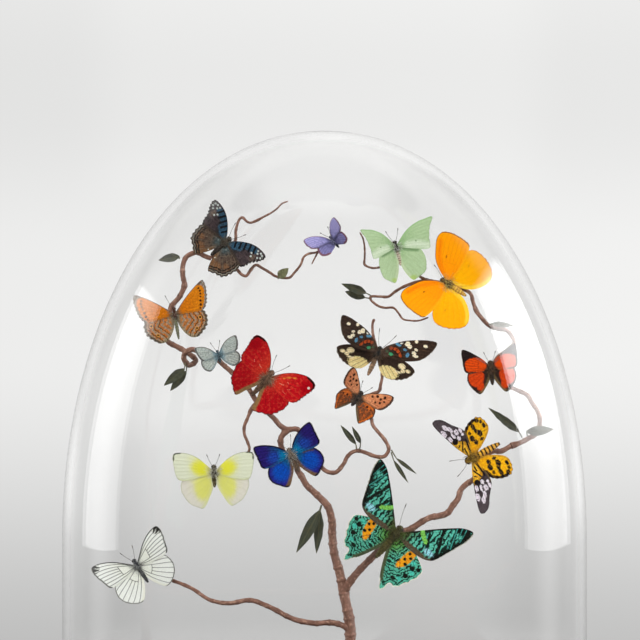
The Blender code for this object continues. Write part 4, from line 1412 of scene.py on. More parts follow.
SPOTTED = Species(
    fore=Wing(
        ((0, 1), (3, 6.5), (7.5, 10.7), (12.5, 14.5), (19.5, 18), (26, 20.6), (31, 21), (30.5, 15),
        (27.5, 9), (23, 5), (12, 1)), 6, 9, "2c1f1a", "33251f", rim="3e3028", costa=0.5,
        fold="382a22", inner=1.0, veins="5a4634", vein=0.35, streaks=0.4, mottle=("4a3628", 0.5),
        base=("5a463c", 0.24), under="6a5848", marks=(
        Mark("5b98bc", ((9.5, 10.5, 1.9, 0.8), (17.3, 6.8, 1, 1.5), (14.5, 9.3, 1.2, 0.7)),
            jitter=1.2),
        Mark("3fae76", ((7.5, 3.2, 1.4, 1), (4.3, 3.8, 1, 0.7)), jitter=0.9),
        Mark("b0461c", strokes=((0.9, ((6, 6.8), (9, 7.3), (11.5, 6.3), (13.5, 4.6))),), edge=0.2,
            jitter=1.4),
        Mark("18100e", strokes=((0.25, ((7.4, 5.8), (7.8, 8.4))), (0.25, ((9.6, 5.8), (10.2, 8.2))),
            (0.25, ((11.6, 4.8), (12.4, 7.2)))), edge=0.12),
        Mark("f4e6c8", ((19, 16.8, 1.1, 1.2), (25.2, 16.3, 1.3, 1), (14.6, 13.2, 1.6),
            (16.5, 12.2, 1.6, 1.2), (20.8, 12, 1.3, 0.7), (20.5, 9.6, 1.5, 1), (22, 8.2, 1.9, 1)),
            edge=0.12, jitter=1.3),
        Mark("dcd8cc", ((11, 12, 1, 0.5, 40),), edge=0.15, jitter=0.8),
    )),
    hind=Wing(
        ((0, 0), (9, 3), (19.7, 2), (25.7, -1), (23.8, -6), (19.4, -9.5), (13, -11.8), (8, -11),
        (3, -6)), 3, 7, "33251f", "33261f", rim="4a3c32", margin=0.5, fold="5a4636", inner=1.6,
        veins="241a16", vein=0.5, streaks=0.4, base=("54402f", 0.26), under="7a6a54", scallop=0.3,
        marks=(
        Mark("dfc98c", ((10.8, -8.1, 6.4, 4.1),), edge=0.3, jitter=2.4),
        Mark("ead6aa", ((17, -1.2, 2.4, 1.8), (18.8, -3.8, 1.4, 1.2), (21.8, -2.6, 1.7, 1.1),
            (16, -5.5, 2.2, 0.7)), jitter=0.8),
    )),
    body=Body(5.0, -15.0, 2.2, 13.0, "8c6e55", "5a4434", "262a2a", "6a5444", "7a6c5a", 0.6, 1.5),
)
COPPER = Species(
    fore=Wing(
        ((0, 0.5), (4.5, 6.2), (10, 10), (14.5, 12.6), (18.3, 13), (19, 8), (16, 1.5), (7, 0)), 4,
        6, "d68c62", "ca7c54", rim="40302a", margin=1.3, costa=0.5, fold="80563c", inner=0.8,
        veins="8a4e30", vein=0.35, streaks=0.15, base=("6a5040", 0.16), under="b08868", marks=(
        Mark("dc9468", ((11.5, 8.8, 1.6),), edge=0.8, jitter=1.2),
        Mark("2c1a14", ((7.2, 5.7, 0.8), (9.8, 7.6, 0.95), (12.4, 7.3, 0.85), (14, 9.6, 0.85, 1.1),
            (13.2, 5.2, 0.8, 0.9), (10.8, 3.8, 0.7), (15, 7.2, 0.7)), edge=0.12, jitter=0.7),
    )),
    hind=Wing(
        ((0, 0), (8, 2.5), (13, 0.5), (15.2, -4.5), (13, -8.7), (10, -13.2), (6, -10), (2, -5)), 2,
        5, "5a4436", "7a4428", (0.35, 0.75), rim="3c2e28", margin=0.5, fold="64543f", inner=1.4,
        veins="3c2c22", vein=0.4, mottle=("c05c26", 0.7), base=("4e443a", 0.3), under="a88c6c",
        marks=(
        Mark("cc6628", ((9, -0.5, 3.2, 2),), edge=0.7, jitter=2.0),
        Mark("2c1a14", ((8.3, -1.6, 0.8), (11.4, -1.8, 0.6)), edge=0.15, jitter=0.6),
        Mark("d06420", strokes=((0.55, ((13.8, -4), (12.6, -8), (10, -12))),), jitter=0.9),
        Mark("2c1a14", tuple((x, y, 0.35) for x, y in ((13.8, -5.4), (13, -8), (11.4, -10.6))),
            edge=0.15),
    )),
    body=Body(4.5, -7.0, 2.1, 8.0, "373032", "504844", "322c2c", "6a5a4c", "7c6858", 0.6, 1.2),
)
EMBER = Species(
    fore=Wing(
        ((0, 0.5), (5, 6.2), (10, 10), (14, 12.6), (17.5, 13.6), (18, 8), (16.2, -1), (7, -1.5)), 4,
        6, "2a1c1a", "221818", rim="241a18", margin=0.6, fold="4a3428", inner=0.8, veins="1c1010",
        vein=0.35, streaks=0.2, base=("4a342a", 0.16), under="806050", marks=(
        Mark("da480c", ((9.6, 3.2, 7, 4.5, 12), (13.4, 1.4, 2.8, 2.4), (6.6, 0.6, 3, 1.8)),
            edge=0.35, jitter=1.4),
        Mark("96544a", strokes=((0.4, ((3.2, 3.4), (6.5, 5.8), (9, 7.8))),), edge=0.4, jitter=0.8),
    )),
    hind=Wing(
        ((0, 0), (10, 1), (14.3, -0.5), (15.8, -5.5), (14, -10.5), (8.5, -15.7), (4.5, -12),
        (1, -6)), 2, 5, "32241e", "2c201c", rim="2c201c", margin=0.7, fold="6e5a3e", inner=1.6,
        veins="241614", vein=0.3, streaks=0.2, base=("4e3a2c", 0.22), under="8a6c54", marks=(
        Mark("d04010", ((10, -5, 5, 5.8), (8, -10, 2.4, 3.4)), edge=0.5, jitter=1.6),
        Mark("d06a28", strokes=((0.8, ((5, -0.6), (9, -0.6), (13.2, -1.4))),), edge=0.4,
            jitter=1.0),
    )),
    body=Body(4.8, -11.0, 2.2, 8.0, "2d2620", "5a4634", "382c24", "6e5038", "5e4a3c"),
)
YELLOW_MOTH = Species(
    fore=Wing(
        ((0, 0.5), (10, 6), (17.5, 9), (24.5, 11.6), (32, 13.3), (33.2, 10.5), (31, 6.6), (26, 3),
        (18, -3), (8, -2.5)), 4, 8, "2e2424", "4c4246", (0.5, 0.9), rim="362e32", margin=0.5,
        costa=0.6, fold="6a5228", inner=0.6, veins="241c20", vein=0.35, streaks=0.2, base=("7a5c20",
        0.14), under="8a7450", marks=(
        Mark("cd911e", ((6.5, 0.8, 6.6, 3.6, 12),), edge=0.4, jitter=1.4),
        Mark("e4ac2c", ((8.8, 2.8, 5.6, 2.4, 18), (13.4, 5.8, 2.4, 1.2, 20)), edge=0.5, jitter=1.4),
        Mark("161012", ((14.6, 5.4, 1.9, 1.7),), strokes=((0.5, ((7, 3.4), (9.5, 2.4),
            (12.5, 1.2))), (0.5, ((4, 1.5), (8, 1.8))), (0.6, ((4, -0.6), (8, -1), (13, -1.3))),
            (0.4, ((10.4, 4.8), (11.6, 3.4)))), edge=0.15, jitter=0.9),
        Mark("dcd0da", ((17.6, 7.4, 2, 1.1, 15), (22.6, 9.6, 2.6, 1.4, 12),
            (25.9, 7.3, 2.2, 1.3, 20), (23.4, 5, 2.4, 1.2, 25), (18.8, 4.8, 2.2, 0.9, 15),
            (15.8, 2.2, 1.6, 1.2), (20, 2.1, 1.9, 1.4), (20, -0.8, 1.8, 1), (17, -1, 1, 0.9)),
            edge=0.12, jitter=1.3),
        Mark("2c2226", strokes=((0.16, ((21, 10.6), (22, 8))), (0.16, ((23.6, 11), (24.6, 8.4))),
            (0.16, ((25, 9), (26, 5.8))), (0.16, ((22, 6.4), (23, 3.6))), (0.16, ((18.6, 8.4),
            (19.6, 6.4))), (0.16, ((19.6, 3.6), (20.6, 0.6)))), edge=0.1),
    )),
    hind=Wing(
        ((0, 0), (9, -1), (17, -3.5), (20.8, -8.5), (21.8, -14), (20, -17.5), (13.5, -19.3),
        (9, -17.2), (3.5, -9)), 2, 6, "e09e10", "e6a812", rim="c88a14", fold="be8c28", inner=1.2,
        veins="b07a14", vein=0.35, streaks=0.15, base=("a07820", 0.16), under="d2a850", scallop=0.5,
        marks=(
        Mark("181416", ((7.6, -7.4, 1.9, 1.3), (11, -6.2, 2.2, 1.5), (11.3, -12.2, 2.3, 1.6),
            (14, -10.6, 1.6, 1.2), (17, -10.3, 2.2, 1.3), (19.3, -14.3, 1.4, 1.4),
            (14.3, -16.8, 1.8, 1), (17.4, -16.2, 1.2, 1), (7.4, -11.6, 1, 1.4),
            (12.4, -2.6, 1.6, 0.8), (14.6, -6.4, 1.2, 1)), strokes=((1.4, ((12, -2.4), (17, -4.2),
            (19.8, -8), (21, -13))),), edge=0.15, jitter=1.4),
        Mark("181416", strokes=tuple((0.2, points) for points in (((20.4, -16), (19, -14.6)),
            ((18.6, -17.4), (17.4, -15.2)), ((16, -18.4), (15.4, -15.6)), ((13.2, -18.6),
            (13, -15.4)), ((11, -17.6), (11.2, -14.4)))), edge=0.15),
    )),
    body=Body(5.0, -20.0, 2.9, 12.0, "c8912d", "241a12", "6e5018", "d0a23c", "3a3034", 1.0, 1.2),
)
SUNSET = Species(
    fore=Wing(
        ((0, 1), (6, 6.5), (13, 13), (20, 19.3), (26, 24.3), (32, 28.6), (38.3, 30), (38.5, 24),
        (35.5, 16), (32.5, 9), (28.5, 1), (22, -2), (10, -2)), 6, 10, "4c6c40", "56b09a",
        (0.18, 0.42), rim="12120f", margin=0.7, costa=1.0, fold="4e4438", inner=1.6, veins="26362a",
        vein=0.3, streaks=0.4, waves=("0e100e", 2.9, 0.97, 12.0), straight=True, base=("3c4620",
        0.16), under="7aa890", marks=(
        Mark("12120f", strokes=((3.0, ((30, 27), (35, 27), (37.4, 24))), (1.6, ((36.6, 24),
            (34.4, 16), (31.4, 9), (28, 2)))), edge=0.8, jitter=3.2),
        Mark("12120f", strokes=((0.9, ((16, 15.4), (19, 9.5), (21.5, 2.5))), (1.1, ((22.5, 21.4),
            (25.5, 13), (28.4, 4))), (0.9, ((29, 25.8), (31.4, 18.5), (33, 12)))), edge=0.4,
            jitter=2.8),
        Mark("3c968c", strokes=((0.3, ((27, 24), (29, 18.5), (31, 13))), (0.35, ((29, 26),
            (31, 19.5), (33, 13.4))), (0.3, ((31.5, 28), (32.6, 24), (33.4, 19.5))), (0.25,
            ((34, 28.8), (34.8, 25), (35.2, 20)))), edge=0.2),
        Mark("76b850", strokes=((1.3, ((12.5, 11.8), (15, 9.6), (18, 7.6))),), edge=0.3,
            jitter=1.8),
        Mark("90cad6", ((23.4, 3.4, 3.2, 1.9),), edge=0.5, jitter=2.2),
        Mark("12120f", strokes=((0.3, ((21.6, 5), (22.6, 2))), (0.25, ((24.4, 5.2), (25, 2))))),
        Mark("544636", strokes=((1.1, ((8, 0), (14, 0), (22, -0.6))),), edge=0.5, jitter=1.2),
    )),
    hind=Wing(
        ((0, 0), (13, 0.5), (22.5, -3), (28, -7), (28, -12), (25, -19), (20.5, -26), (17.5, -25.5),
        (15, -33), (10, -27), (5, -18), (1, -8)), 3, 9, "54883f", "50a48c", (0.25, 0.55),
        rim="eae6da", margin=0.45, fold="4a5038", inner=2.2, veins="1e2c20", vein=0.45, streaks=0.5,
        waves=("10120f", 2.1, 0.95, 16.0), base=("3c3e22", 0.16), under="8ab09a", scallop=0.6,
        marks=(
        Mark("de9018", ((15.6, -6.6, 3, 7.4, -8), (13.4, -12.6, 1.4, 2.4)), edge=0.35, jitter=2.6),
        Mark("46b4a0", ((20.6, -6.5, 1.8, 1.2), (23.4, -12, 1.6, 1.4), (19.6, -19.5, 1.6, 1.2)),
            edge=0.4, jitter=2.0),
        Mark("14140f", ((15, -3.4, 1), (17.2, -5.4, 1.1, 0.9), (14.6, -8, 1), (16.8, -10.2, 1.2, 1),
            (21.8, -9.6, 1.7, 1.4), (21.4, -15.6, 1.8, 1.4), (16.2, -21.6, 1.8, 1.2),
            (25.6, -7.8, 1.3)), jitter=0.9),
    )),
    body=Body(6.5, -19.0, 3.0, 16.0, "4a4424", "2a2818", "3c371e", "5a5a34", "d8d4c4", 0.5),
)
DEEP_BLUE = Species(
    fore=Wing(
        ((0, 0.5), (3.3, 5.5), (7, 9.3), (11.5, 12.1), (16, 14), (20.3, 14.2), (20.7, 8),
        (19.5, -0.5), (8, -1)), 5, 7, "0c5c8c", "241862", (0.2, 0.75), rim="150e1e", margin=1.1,
        costa=0.9, fold="1c4a78", inner=0.8, veins="100c34", vein=0.5, streaks=0.3, base=("1e5a78",
        0.16), under="6a6070", marks=(
        Mark("04709a", ((6, 1.8, 3.6, 2.6),), edge=1.4, jitter=1.6),
        Mark("1c3c96", ((11, 3.4, 4, 3.2),), edge=1.8, jitter=2.0),
    )),
    hind=Wing(
        ((0, 0), (10, 2), (15, 0), (18.5, -5), (18.3, -10), (15, -14), (9.5, -17.7), (5, -13),
        (1.5, -7)), 2, 6, "10507c", "241e78", (0.35, 0.9), rim="150e1e", margin=1.0, fold="6e543c",
        inner=2.3, veins="121c4c", vein=0.45, streaks=0.3, base=("2a5a70", 0.2), under="7a6e68",
        marks=(
        Mark("0846aa", ((10.4, -7, 5.4, 5.8),), edge=2.2, jitter=2.0),
        Mark("4e4048", strokes=((0.8, ((8, -0.6), (11, -0.4), (14, -1.2))),), edge=0.6),
    )),
    body=Body(5.0, -11.5, 2.2, 10.0, "5f4b3c", "3a2e26", "6a5a4c", "b4b0a8", "3a3050"),
)
PALE_YELLOW = Species(
    fore=Wing(
        ((0, 0.5), (5.5, 6), (9.5, 9.7), (14.5, 12.6), (20.5, 14.1), (25, 13.6), (25.6, 9),
        (22.3, -3), (9, -2.5)), 5, 7, "d8d67e", "d6d8c0", (0.3, 0.75), rim="9a9a80", margin=0.2,
        fold="cccea4", inner=0.8, veins="c0c09c", vein=0.12, streaks=0.1, powder=0.08,
        base=("8c8650", 0.16), under="d0d0a0", marks=(
        Mark("dcd83e", ((7.4, 3.2, 7.2, 4.6, 20),), edge=2.0, jitter=2.8),
        Mark("42463a", strokes=((0.45, ((20.6, 14), (24.6, 13.4), (25.3, 9.6))),), edge=0.3,
            jitter=1.0),
    )),
    hind=Wing(
        ((0, 0), (11, -1), (20, -2.5), (21.7, -8), (20, -13), (17, -17.5), (13, -20.2),
        (8.5, -21.7), (4, -15), (1, -8)), 2, 7, "d8d67c", "d4cec2", (0.35, 0.9), rim="a8a68a",
        margin=0.2, fold="d0cfa8", inner=1.8, veins="b8b694", vein=0.2, streaks=0.15, powder=0.08,
        base=("a0985a", 0.14), under="d0d0a0", marks=(
        Mark("d6d46e", ((8, -9, 5, 8),), edge=2.2, jitter=2.8),
    )),
    body=Body(5.0, -9.5, 2.0, 9.0, "504428", "342c1c", "3c3424", "dcd8c0", "c8c8ac", 0.35, 1.3),
)
VEINED_WHITE = Species(
    fore=Wing(
        ((0, 0.5), (6, 6), (12, 11), (19, 14.5), (24.5, 15), (25.5, 11), (23.5, 3), (21, -2.5),
        (9, -2.5)), 4, 7, "dcdcd2", "e1e1dc", rim="2c2a28", margin=0.7, costa=0.6, fold="d8d8ce",
        inner=0.8, veins="34322f", vein=0.85, streaks=0.1, powder=0.15, base=("4a4844", 0.12),
        under="dcdacc", marks=(
        Mark("2c2a28", ((23.2, 13.4, 3.2, 2.8, -40),), edge=0.5, jitter=1.4),
        Mark("dcdcd4", ((22.2, 12.7, 1.6, 0.42, 35), (23.2, 11, 1.5, 0.42, 20),
            (20.8, 13.9, 1.4, 0.4, 50)), edge=0.2),
    )),
    hind=Wing(
        ((0, 0), (11, -1), (18.5, -3), (20.5, -8), (19.5, -13.5), (15, -18.5), (9, -20.5), (4, -15),
        (1, -8)), 2, 6, "dcdcd2", "e1e1dc", rim="34322f", margin=0.45, fold="dedcd0", inner=1.4,
        veins="3c3a36", vein=0.8, streaks=0.1, powder=0.15, base=("5a5850", 0.14), under="dcd8c0"),
    body=Body(5.0, -12.5, 1.9, 10.0, "3a3a3c", "5c5a58", "3c3c40", "a8a8a4", "aaa8a0"),
)

INSECTS = (
    Insect("butterfly_dark_blue", DARK_BLUE, (-62.6, -3.2, 350.6), 41, 6, -1, (10, 10), (1, 0),
           (-5, 0)),
    Insect("butterfly_violet", VIOLET, (5.8, -1.6, 351.8), 130, 8, -8, (38, 10), (0, 0), (-4, 0)),
    Insect("butterfly_green", PALE_GREEN, (44.6, -13.4, 347.0), 105, -1, 10, (18, 30), (-5, 1),
           (-6, 2)),
    Insect("butterfly_orange", ORANGE, (76.6, -14.4, 325.0), 147, 8, 9, (7, 7), (1.5, 3.5), (7, 0)),
    Insect("butterfly_fritillary", FRITILLARY, (-93.6, -2.2, 305.1), 99, 2, 7, (22, 6), (4, -3),
           (4, 1)),
    Insect("butterfly_red", RED, (-35.9, -12.8, 265.9), 49, 8, 10, (7, 13), (0, 3.5), (0, 8)),
    Insect("butterfly_grey_blue", GREY_BLUE, (-66.2, -6.6, 280.1), 105, -7, 10, (9, 18), (0, -9),
           (0, 0)),
    Insect("moth_spotted", SPOTTED, (33.0, -15.0, 281.4), 66, 8, 10, (7, -2), (0, -10), (0, -11),
           (0, 20)),
    Insect("butterfly_copper", COPPER, (20.9, -9.6, 254.3), 54, 5, 4, (8, 31), (0, 4.5), (0, -3.5)),
    Insect("butterfly_ember", EMBER, (104.3, -2.6, 272.4), 96, 8, -2, (11, 10), (3.5, 0), (0, 0)),
    Insect("moth_yellow", YELLOW_MOTH, (92.2, -7.0, 215.9), 208, 8, -3, (10, 8), (0, -2),
           (4.5, -5)),
    Insect("moth_sunset", SUNSET, (44.0, -15.0, 169.0), 50, 0, 0, (10, 10), (3, 0)),
    Insect("butterfly_blue", DEEP_BLUE, (-20.5, -8.6, 218.0), 113, 8, -2, (11, 10), (4, 0),
           (-1, 0)),
    Insect("butterfly_yellow", PALE_YELLOW, (-69.0, -6.4, 207.0), 92, 8, 0, (11, 11), (-2, 0),
           (4.5, -3)),
    Insect("butterfly_white", VEINED_WHITE, (-117.0, -5.6, 148.5), 123, 4, 0, (10, 10)),
)


# --- the branch ----------------------------------------------------------------------------------
RING_GAP = 0.5              # between two rings of a twig's bark
BARK_SIDES = 18
WART_DENSITY = 0.45         # lenticels on a square millimetre
NODE_GAPS = (5.0, 11.0)     # between two bud scars on a twig
SPUR_RADII = (0.6, 0.4)
FOOT = (0.32, 1.5)          # (height, length) of a twig's swelling at its foot, in its radius
KNOT = (0.3, 1.7)           # height of a knot in the radius, and its length
SCAR = (0.16, 0.75)         # the same of a bud scar
BUD = ((0, 0.5, 1.6, 2.4), (0.35, 0.9, 1.05, 1.0))      # distances from a tip, thickness there
SPIRAL = 0.05               # depth of the three ridges that wind round a twig
LUMPS = ((0.07, 5.0, 3), (0.035, 1.8, 4))               # (height, size, seed) of the bark's bumps


class Bark:
    """The branch's finish: a thin, reddish skin that has dried into fine furrows."""

    @staticmethod
    def finish(name: str, light: Colour, dark: Colour) -> bpy.types.Material:
        """The bark, or with lighter colours its lenticels.

        Args:
            name: the material's name.
            light, dark: the colours of its ridges and of its furrows.

        Returns:
            The material.
        """
        made, nodes, shader = material(name, 0.5, Coat_Roughness=0.35)
        along = nodes.vector("bark")
        furrows = nodes.stretch(along, 1.0, 1.0, 0.22)
        cloud = nodes.noise(nodes.places(), 90.0, 3.0)
        colour = nodes.mix(nodes.rise(cloud, 0.35, 0.65), "946a5a", "7e584a")
        colour = nodes.mix(nodes.rise(nodes.noise(along, 0.5, 4.0), 0.5, 0.68), colour, light)
        grain = nodes.group(Effect.GRAIN.tree, Colour=colour, Dark=dark, Vector=furrows,
                            Size=2.6, Strength=0.8)
        knots = nodes.mix(nodes.value("knot"), grain.outputs["Colour"], dark)
        height = nodes.scaled(nodes.noise(along, 3.0, 3.0), 0.5, grain.outputs["Height"])
        nodes.feed(shader.inputs["Roughness"], nodes.between(height, 0.36, 0.62))
        dress(nodes, shader, knots, height, 0.22)
        return made


@dataclass(frozen=True)
class Twig:
    """One stretch of the branch, from where it leaves its parent to its end.

    The thickness runs evenly from the first radius to the last. `knots` are the places in the route
    that carry a thick knot, `free` says that nothing grows on from the end, and `spur` is the route
    of a short side shoot.
    """

    name: str
    radii: tuple[float, float]
    route: tuple[Point, ...]
    knots: tuple[int, ...] = ()
    free: bool = True
    spur: tuple[Point, ...] = ()

    def build(self, finish: bpy.types.Material, ground: Skin) -> None:
        """The twig with its spur, whose bark is also added to the ground of the lenticels.

        Args:
            finish: the bark's material.
            ground: where the lenticels will grow.
        """
        for skin in (bark := Skin(), ground):
            self.grow(skin, self.route, self.radii, self.knots, self.free)
            if self.spur:
                self.grow(skin, self.spur, SPUR_RADII, (), True)
        keep(bark.make(self.name + "_bark", [finish]), "bark", self.name)

    @staticmethod
    def grow(skin: Skin, route: tuple[Point, ...], radii: tuple[float, float],
             knots: tuple[int, ...], free: bool) -> None:
        """Add one crooked, knotty stretch of bark.

        Args:
            skin: what it is added to.
            route, radii, knots: as the twig's own.
            free: whether it ends in a bud.
        """
        curve = smooth(route)
        way = walked(curve)
        count = max(6, int(way[-1] / RING_GAP))
        places = np.linspace(0, way[-1], count)
        middle = even(curve, count)
        thick = np.interp(places, (0, way[-1]), radii)

        def bump(at: float, height: float, length: float) -> np.ndarray:
            """A swelling round a place."""
            return height * np.exp(-((places - at) / length) ** 2)

        swollen = bump(0.0, FOOT[0], FOOT[1] * radii[0])
        for knot in knots:
            swollen += bump(way[knot * SAMPLES], *KNOT)
        random = np.random.default_rng(int(way[-1] * 10))
        node, scars = 3.0, np.zeros(count)
        while node < way[-1] - 2:
            scars += bump(node, *SCAR)
            node += random.uniform(*NODE_GAPS)
        if free:
            left = way[-1] - places
            thick = thick * np.interp(left, *BUD)
        turns = turns_of(BARK_SIDES)
        spiral = np.cos(3 * turns + places[:, None] * 0.11) * SPIRAL
        base = thick[:, None] * (1 + swollen[:, None] + scars[:, None] + spiral)
        rings, outward = tube_rings(middle, base, BARK_SIDES)
        rough = sum(height * ripple(rings, size, seed) for height, size, seed in LUMPS)
        rings += outward * (thick[:, None] * rough)[..., None]
        along = np.stack([np.cos(turns) * thick[:, None], np.sin(turns) * thick[:, None],
                          np.broadcast_to(places[:, None], (count, BARK_SIDES))], -1)
        end = middle[-1] + (middle[-1] - middle[-2]) * 0.6
        skin.loft(rings, (None, tuple(end) if free else None), bark=along,
                  knot=np.clip(swollen * 0.5 + scars * 1.6, 0, 0.6)[:, None], lie=outward,
                  dense=1.0, long=1.0)


TWIGS = (
    Twig("twig_trunk", (4.4, 1.7), (
        (6, 8, 24.35), (6, 8, 40), (8, 8, 56), (12, 8, 74), (16, 7, 92), (16, 5, 110), (13, 4, 126),
        (10, 4, 142), (6.4, 3, 155), (4.8, 2, 167), (4.8, 1, 174), (3.9, 0, 180), (2, -1, 185.6),
        (-1.8, -2, 190), (-7, -3, 195), (-11.2, -4, 199), (-14, -4, 204), (-17, -4, 209),
        (-17, -4, 215), (-15, -4, 220),
    ), free=False),
    Twig("twig_left", (1.7, 1.5), (
        (-15, -4, 220.4), (-12, -4, 225), (-13, -4, 230), (-17, -5, 234), (-23.4, -5, 234),
        (-27.4, -6, 236), (-31.4, -7, 240.6), (-36, -8, 245), (-42, -8, 251), (-47, -7, 259),
        (-52, -6, 264), (-57, -5, 269), (-64, -4, 275), (-69, -3, 280), (-75, -4, 282),
    ), free=False),
    Twig("twig_curl", (1.7, 1.5), (
        (-75.4, -4, 282.2), (-79, -4, 283), (-83, -5, 284), (-87, -5, 282), (-88, -2, 278),
        (-85, 2, 274), (-81, 5, 277), (-85, 5, 281), (-91.6, 4, 285), (-98.6, 3, 289),
        (-100.4, 2, 295), (-98, 2, 304), (-96, 2, 311), (-91, 1, 317), (-88, 0, 324), (-89, 0, 331),
        (-89, 1, 337), (-87, 1, 342), (-84, 1, 344), (-80, 1, 345), (-76, 1, 343), (-71, 1, 341),
    ), knots=(14,), free=False),
    Twig("twig_loop", (1.8, 1.7), (
        (-23, -5, 234), (-25.4, -5, 231.5), (-27.4, -4.5, 228), (-27, -3, 223), (-25, -1, 218),
    )),
    Twig("twig_tall", (1.2, 0.5), (
        (-70.8, 1, 341.3), (-68, 1.5, 344), (-63, 1.5, 347), (-59, 1, 349), (-55.8, 0, 352.6),
        (-55.6, -1, 358.5), (-53.8, -2, 364.8), (-51.6, -3, 366.8), (-48.6, -4, 364.2),
        (-46.2, -4, 363.4), (-41.4, -5, 365.2), (-37.4, -5, 367.4), (-33.6, -5, 369.4),
        (-29.6, -6, 372.2), (-26.6, -7, 375.2), (-22.8, -8, 376.6),
    ), knots=(10,)),
    Twig("twig_violet", (1.1, 0.6), (
        (-69, 1.4, 343), (-67, 1, 339), (-64, 1, 336.5), (-60, 0, 335), (-55, -2, 334),
        (-52, -3, 331), (-49, -3, 330), (-46, -2, 334), (-43, 0, 337), (-39, 2, 335), (-34, 4, 332),
        (-31, 4, 330), (-27, 4, 329), (-22, 3, 329), (-19, 3, 332), (-15, 2, 337), (-13, 2, 342),
        (-10, 1, 344), (-5, 1, 345), (0, 1, 348), (5, 1, 350),
    ), spur=((-4, 1, 345.2), (-6, 3, 341.5), (-8, 4, 337.5))),
    Twig("twig_yellow", (1.1, 0.7), (
        (-42, -8, 251), (-44.5, -7.5, 248.5), (-46, -6.5, 246), (-48, -7, 241), (-50, -8, 236),
        (-50, -8, 231), (-48, -7, 226), (-47, -6, 221), (-51, -5, 215), (-57, -4, 211),
        (-64, -3, 208), (-70, -3, 205),
    ), knots=(2,)),
    Twig("twig_centre", (1.4, 0.8), (
        (-16, -4, 218), (-10, -6, 215), (-7, -7, 212), (-3, -8, 211), (1, -9, 208), (5, -10, 207),
        (8, -11, 208), (12, -12, 213), (14, -13, 217), (17, -14, 220), (21, -14, 221),
        (25, -15, 220), (30, -15, 218), (35, -15, 217), (38, -15, 218), (40, -15, 222),
        (38, -15, 227), (33, -13, 233), (30, -11, 237), (29, -8, 242), (26, -6, 248), (25, -6, 253),
        (29, -8, 256), (34, -10, 258), (35, -11, 262), (36, -11, 267), (35, -11, 275),
        (33, -11, 283), (31, -10, 290), (30, -10, 295), (30, -10, 300), (31, -10, 303),
    ), knots=(31,)),
    Twig("twig_right", (2.3, 1.6), (
        (12, 4, 132), (20, 0, 143), (30, -5, 154), (38, -8, 162), (46, -9, 169), (54, -10, 172),
        (60, -10, 176), (66, -10, 179), (72, -9, 180), (77, -8, 182), (80, -7, 186),
        (83.3, -6, 190.7), (85.3, -5, 196), (88.6, -4, 199.6), (93.2, -3, 202.6), (97, -2, 208),
        (99, -2, 213), (102, -1, 218), (106, 0, 220), (111, 2, 220), (117, 4, 223),
    ), free=False),
    Twig("twig_right_upper", (1.6, 1.1), (
        (117.4, 4.1, 223.2), (123, 6, 225), (129, 7, 228), (134, 8, 231), (136, 8, 235),
        (136, 7, 241), (134, 6, 246), (131, 5, 250), (128, 4, 255), (122, 3, 258), (116, 2, 261),
        (110, 1, 266), (106, 1, 271), (108, 1, 278), (114, 1, 283), (119, 0, 288), (117, -2, 293),
        (114, -3, 296), (108, -4, 297), (103, -5, 299), (98, -6, 304), (95, -6, 308), (93, -7, 313),
        (91, -8, 319), (85, -9, 322), (78, -10, 324),
    ), knots=(21,), free=False),
    Twig("twig_orange", (1.1, 0.5), (
        (77.6, -10, 324.1), (71, -10, 326), (64, -9, 327), (57, -8, 326), (49, -6, 323),
        (44, -5, 320), (40, -4, 317), (35, -4, 317), (29, -4, 317), (29, -4, 315), (31, -4, 313),
        (34, -4, 311), (38, -4, 310), (43, -5, 310), (46, -5, 307), (49, -5, 303), (54, -5, 302),
        (59, -5, 302), (65, -5, 304),
    )),
    Twig("twig_green", (0.9, 0.5), (
        (64, -9, 327), (59, -9, 330), (54, -10, 335), (47, -10, 339), (40, -10, 337),
        (33, -10, 335), (29, -10, 335), (25, -10, 337), (25, -11, 341), (25, -12, 347),
        (24, -13, 353), (22, -14, 357),
    ), knots=(7,)),
    Twig("twig_low", (1.9, 0.9), (
        (16, 5, 108), (6, 2, 112), (-7, 0, 112), (-20, -3, 115), (-33, -5, 122), (-46, -6, 127),
        (-60, -5, 125), (-72, -3, 127), (-83, -2, 134), (-95, -2, 139), (-106, -2, 142),
        (-116, -2, 146),
    )),
)


# --- leaves --------------------------------------------------------------------------------------
LEAF_WIDTHS = ((0.0, 0.1), (0.12, 0.55), (0.34, 1.0), (0.62, 0.86), (0.85, 0.42), (1.0, 0.04))
LEAF_ROWS = 34
LEAF_COLUMNS = 17
LEAF_SHELL = 0.22
RUFFLES = ((0.10, 17, 1, 2), (0.07, 31, 2, 1))      # (depth, waves, shift, power across) of each
TEETH = (0.045, 0.9)        # depth and spacing of the notches in its edge
MIDRIB = (0.2, 0.09)        # height of the midrib, and its half width in shares of the blade's
STALK_ROWS = 14
STALK_RADIUS = 0.42


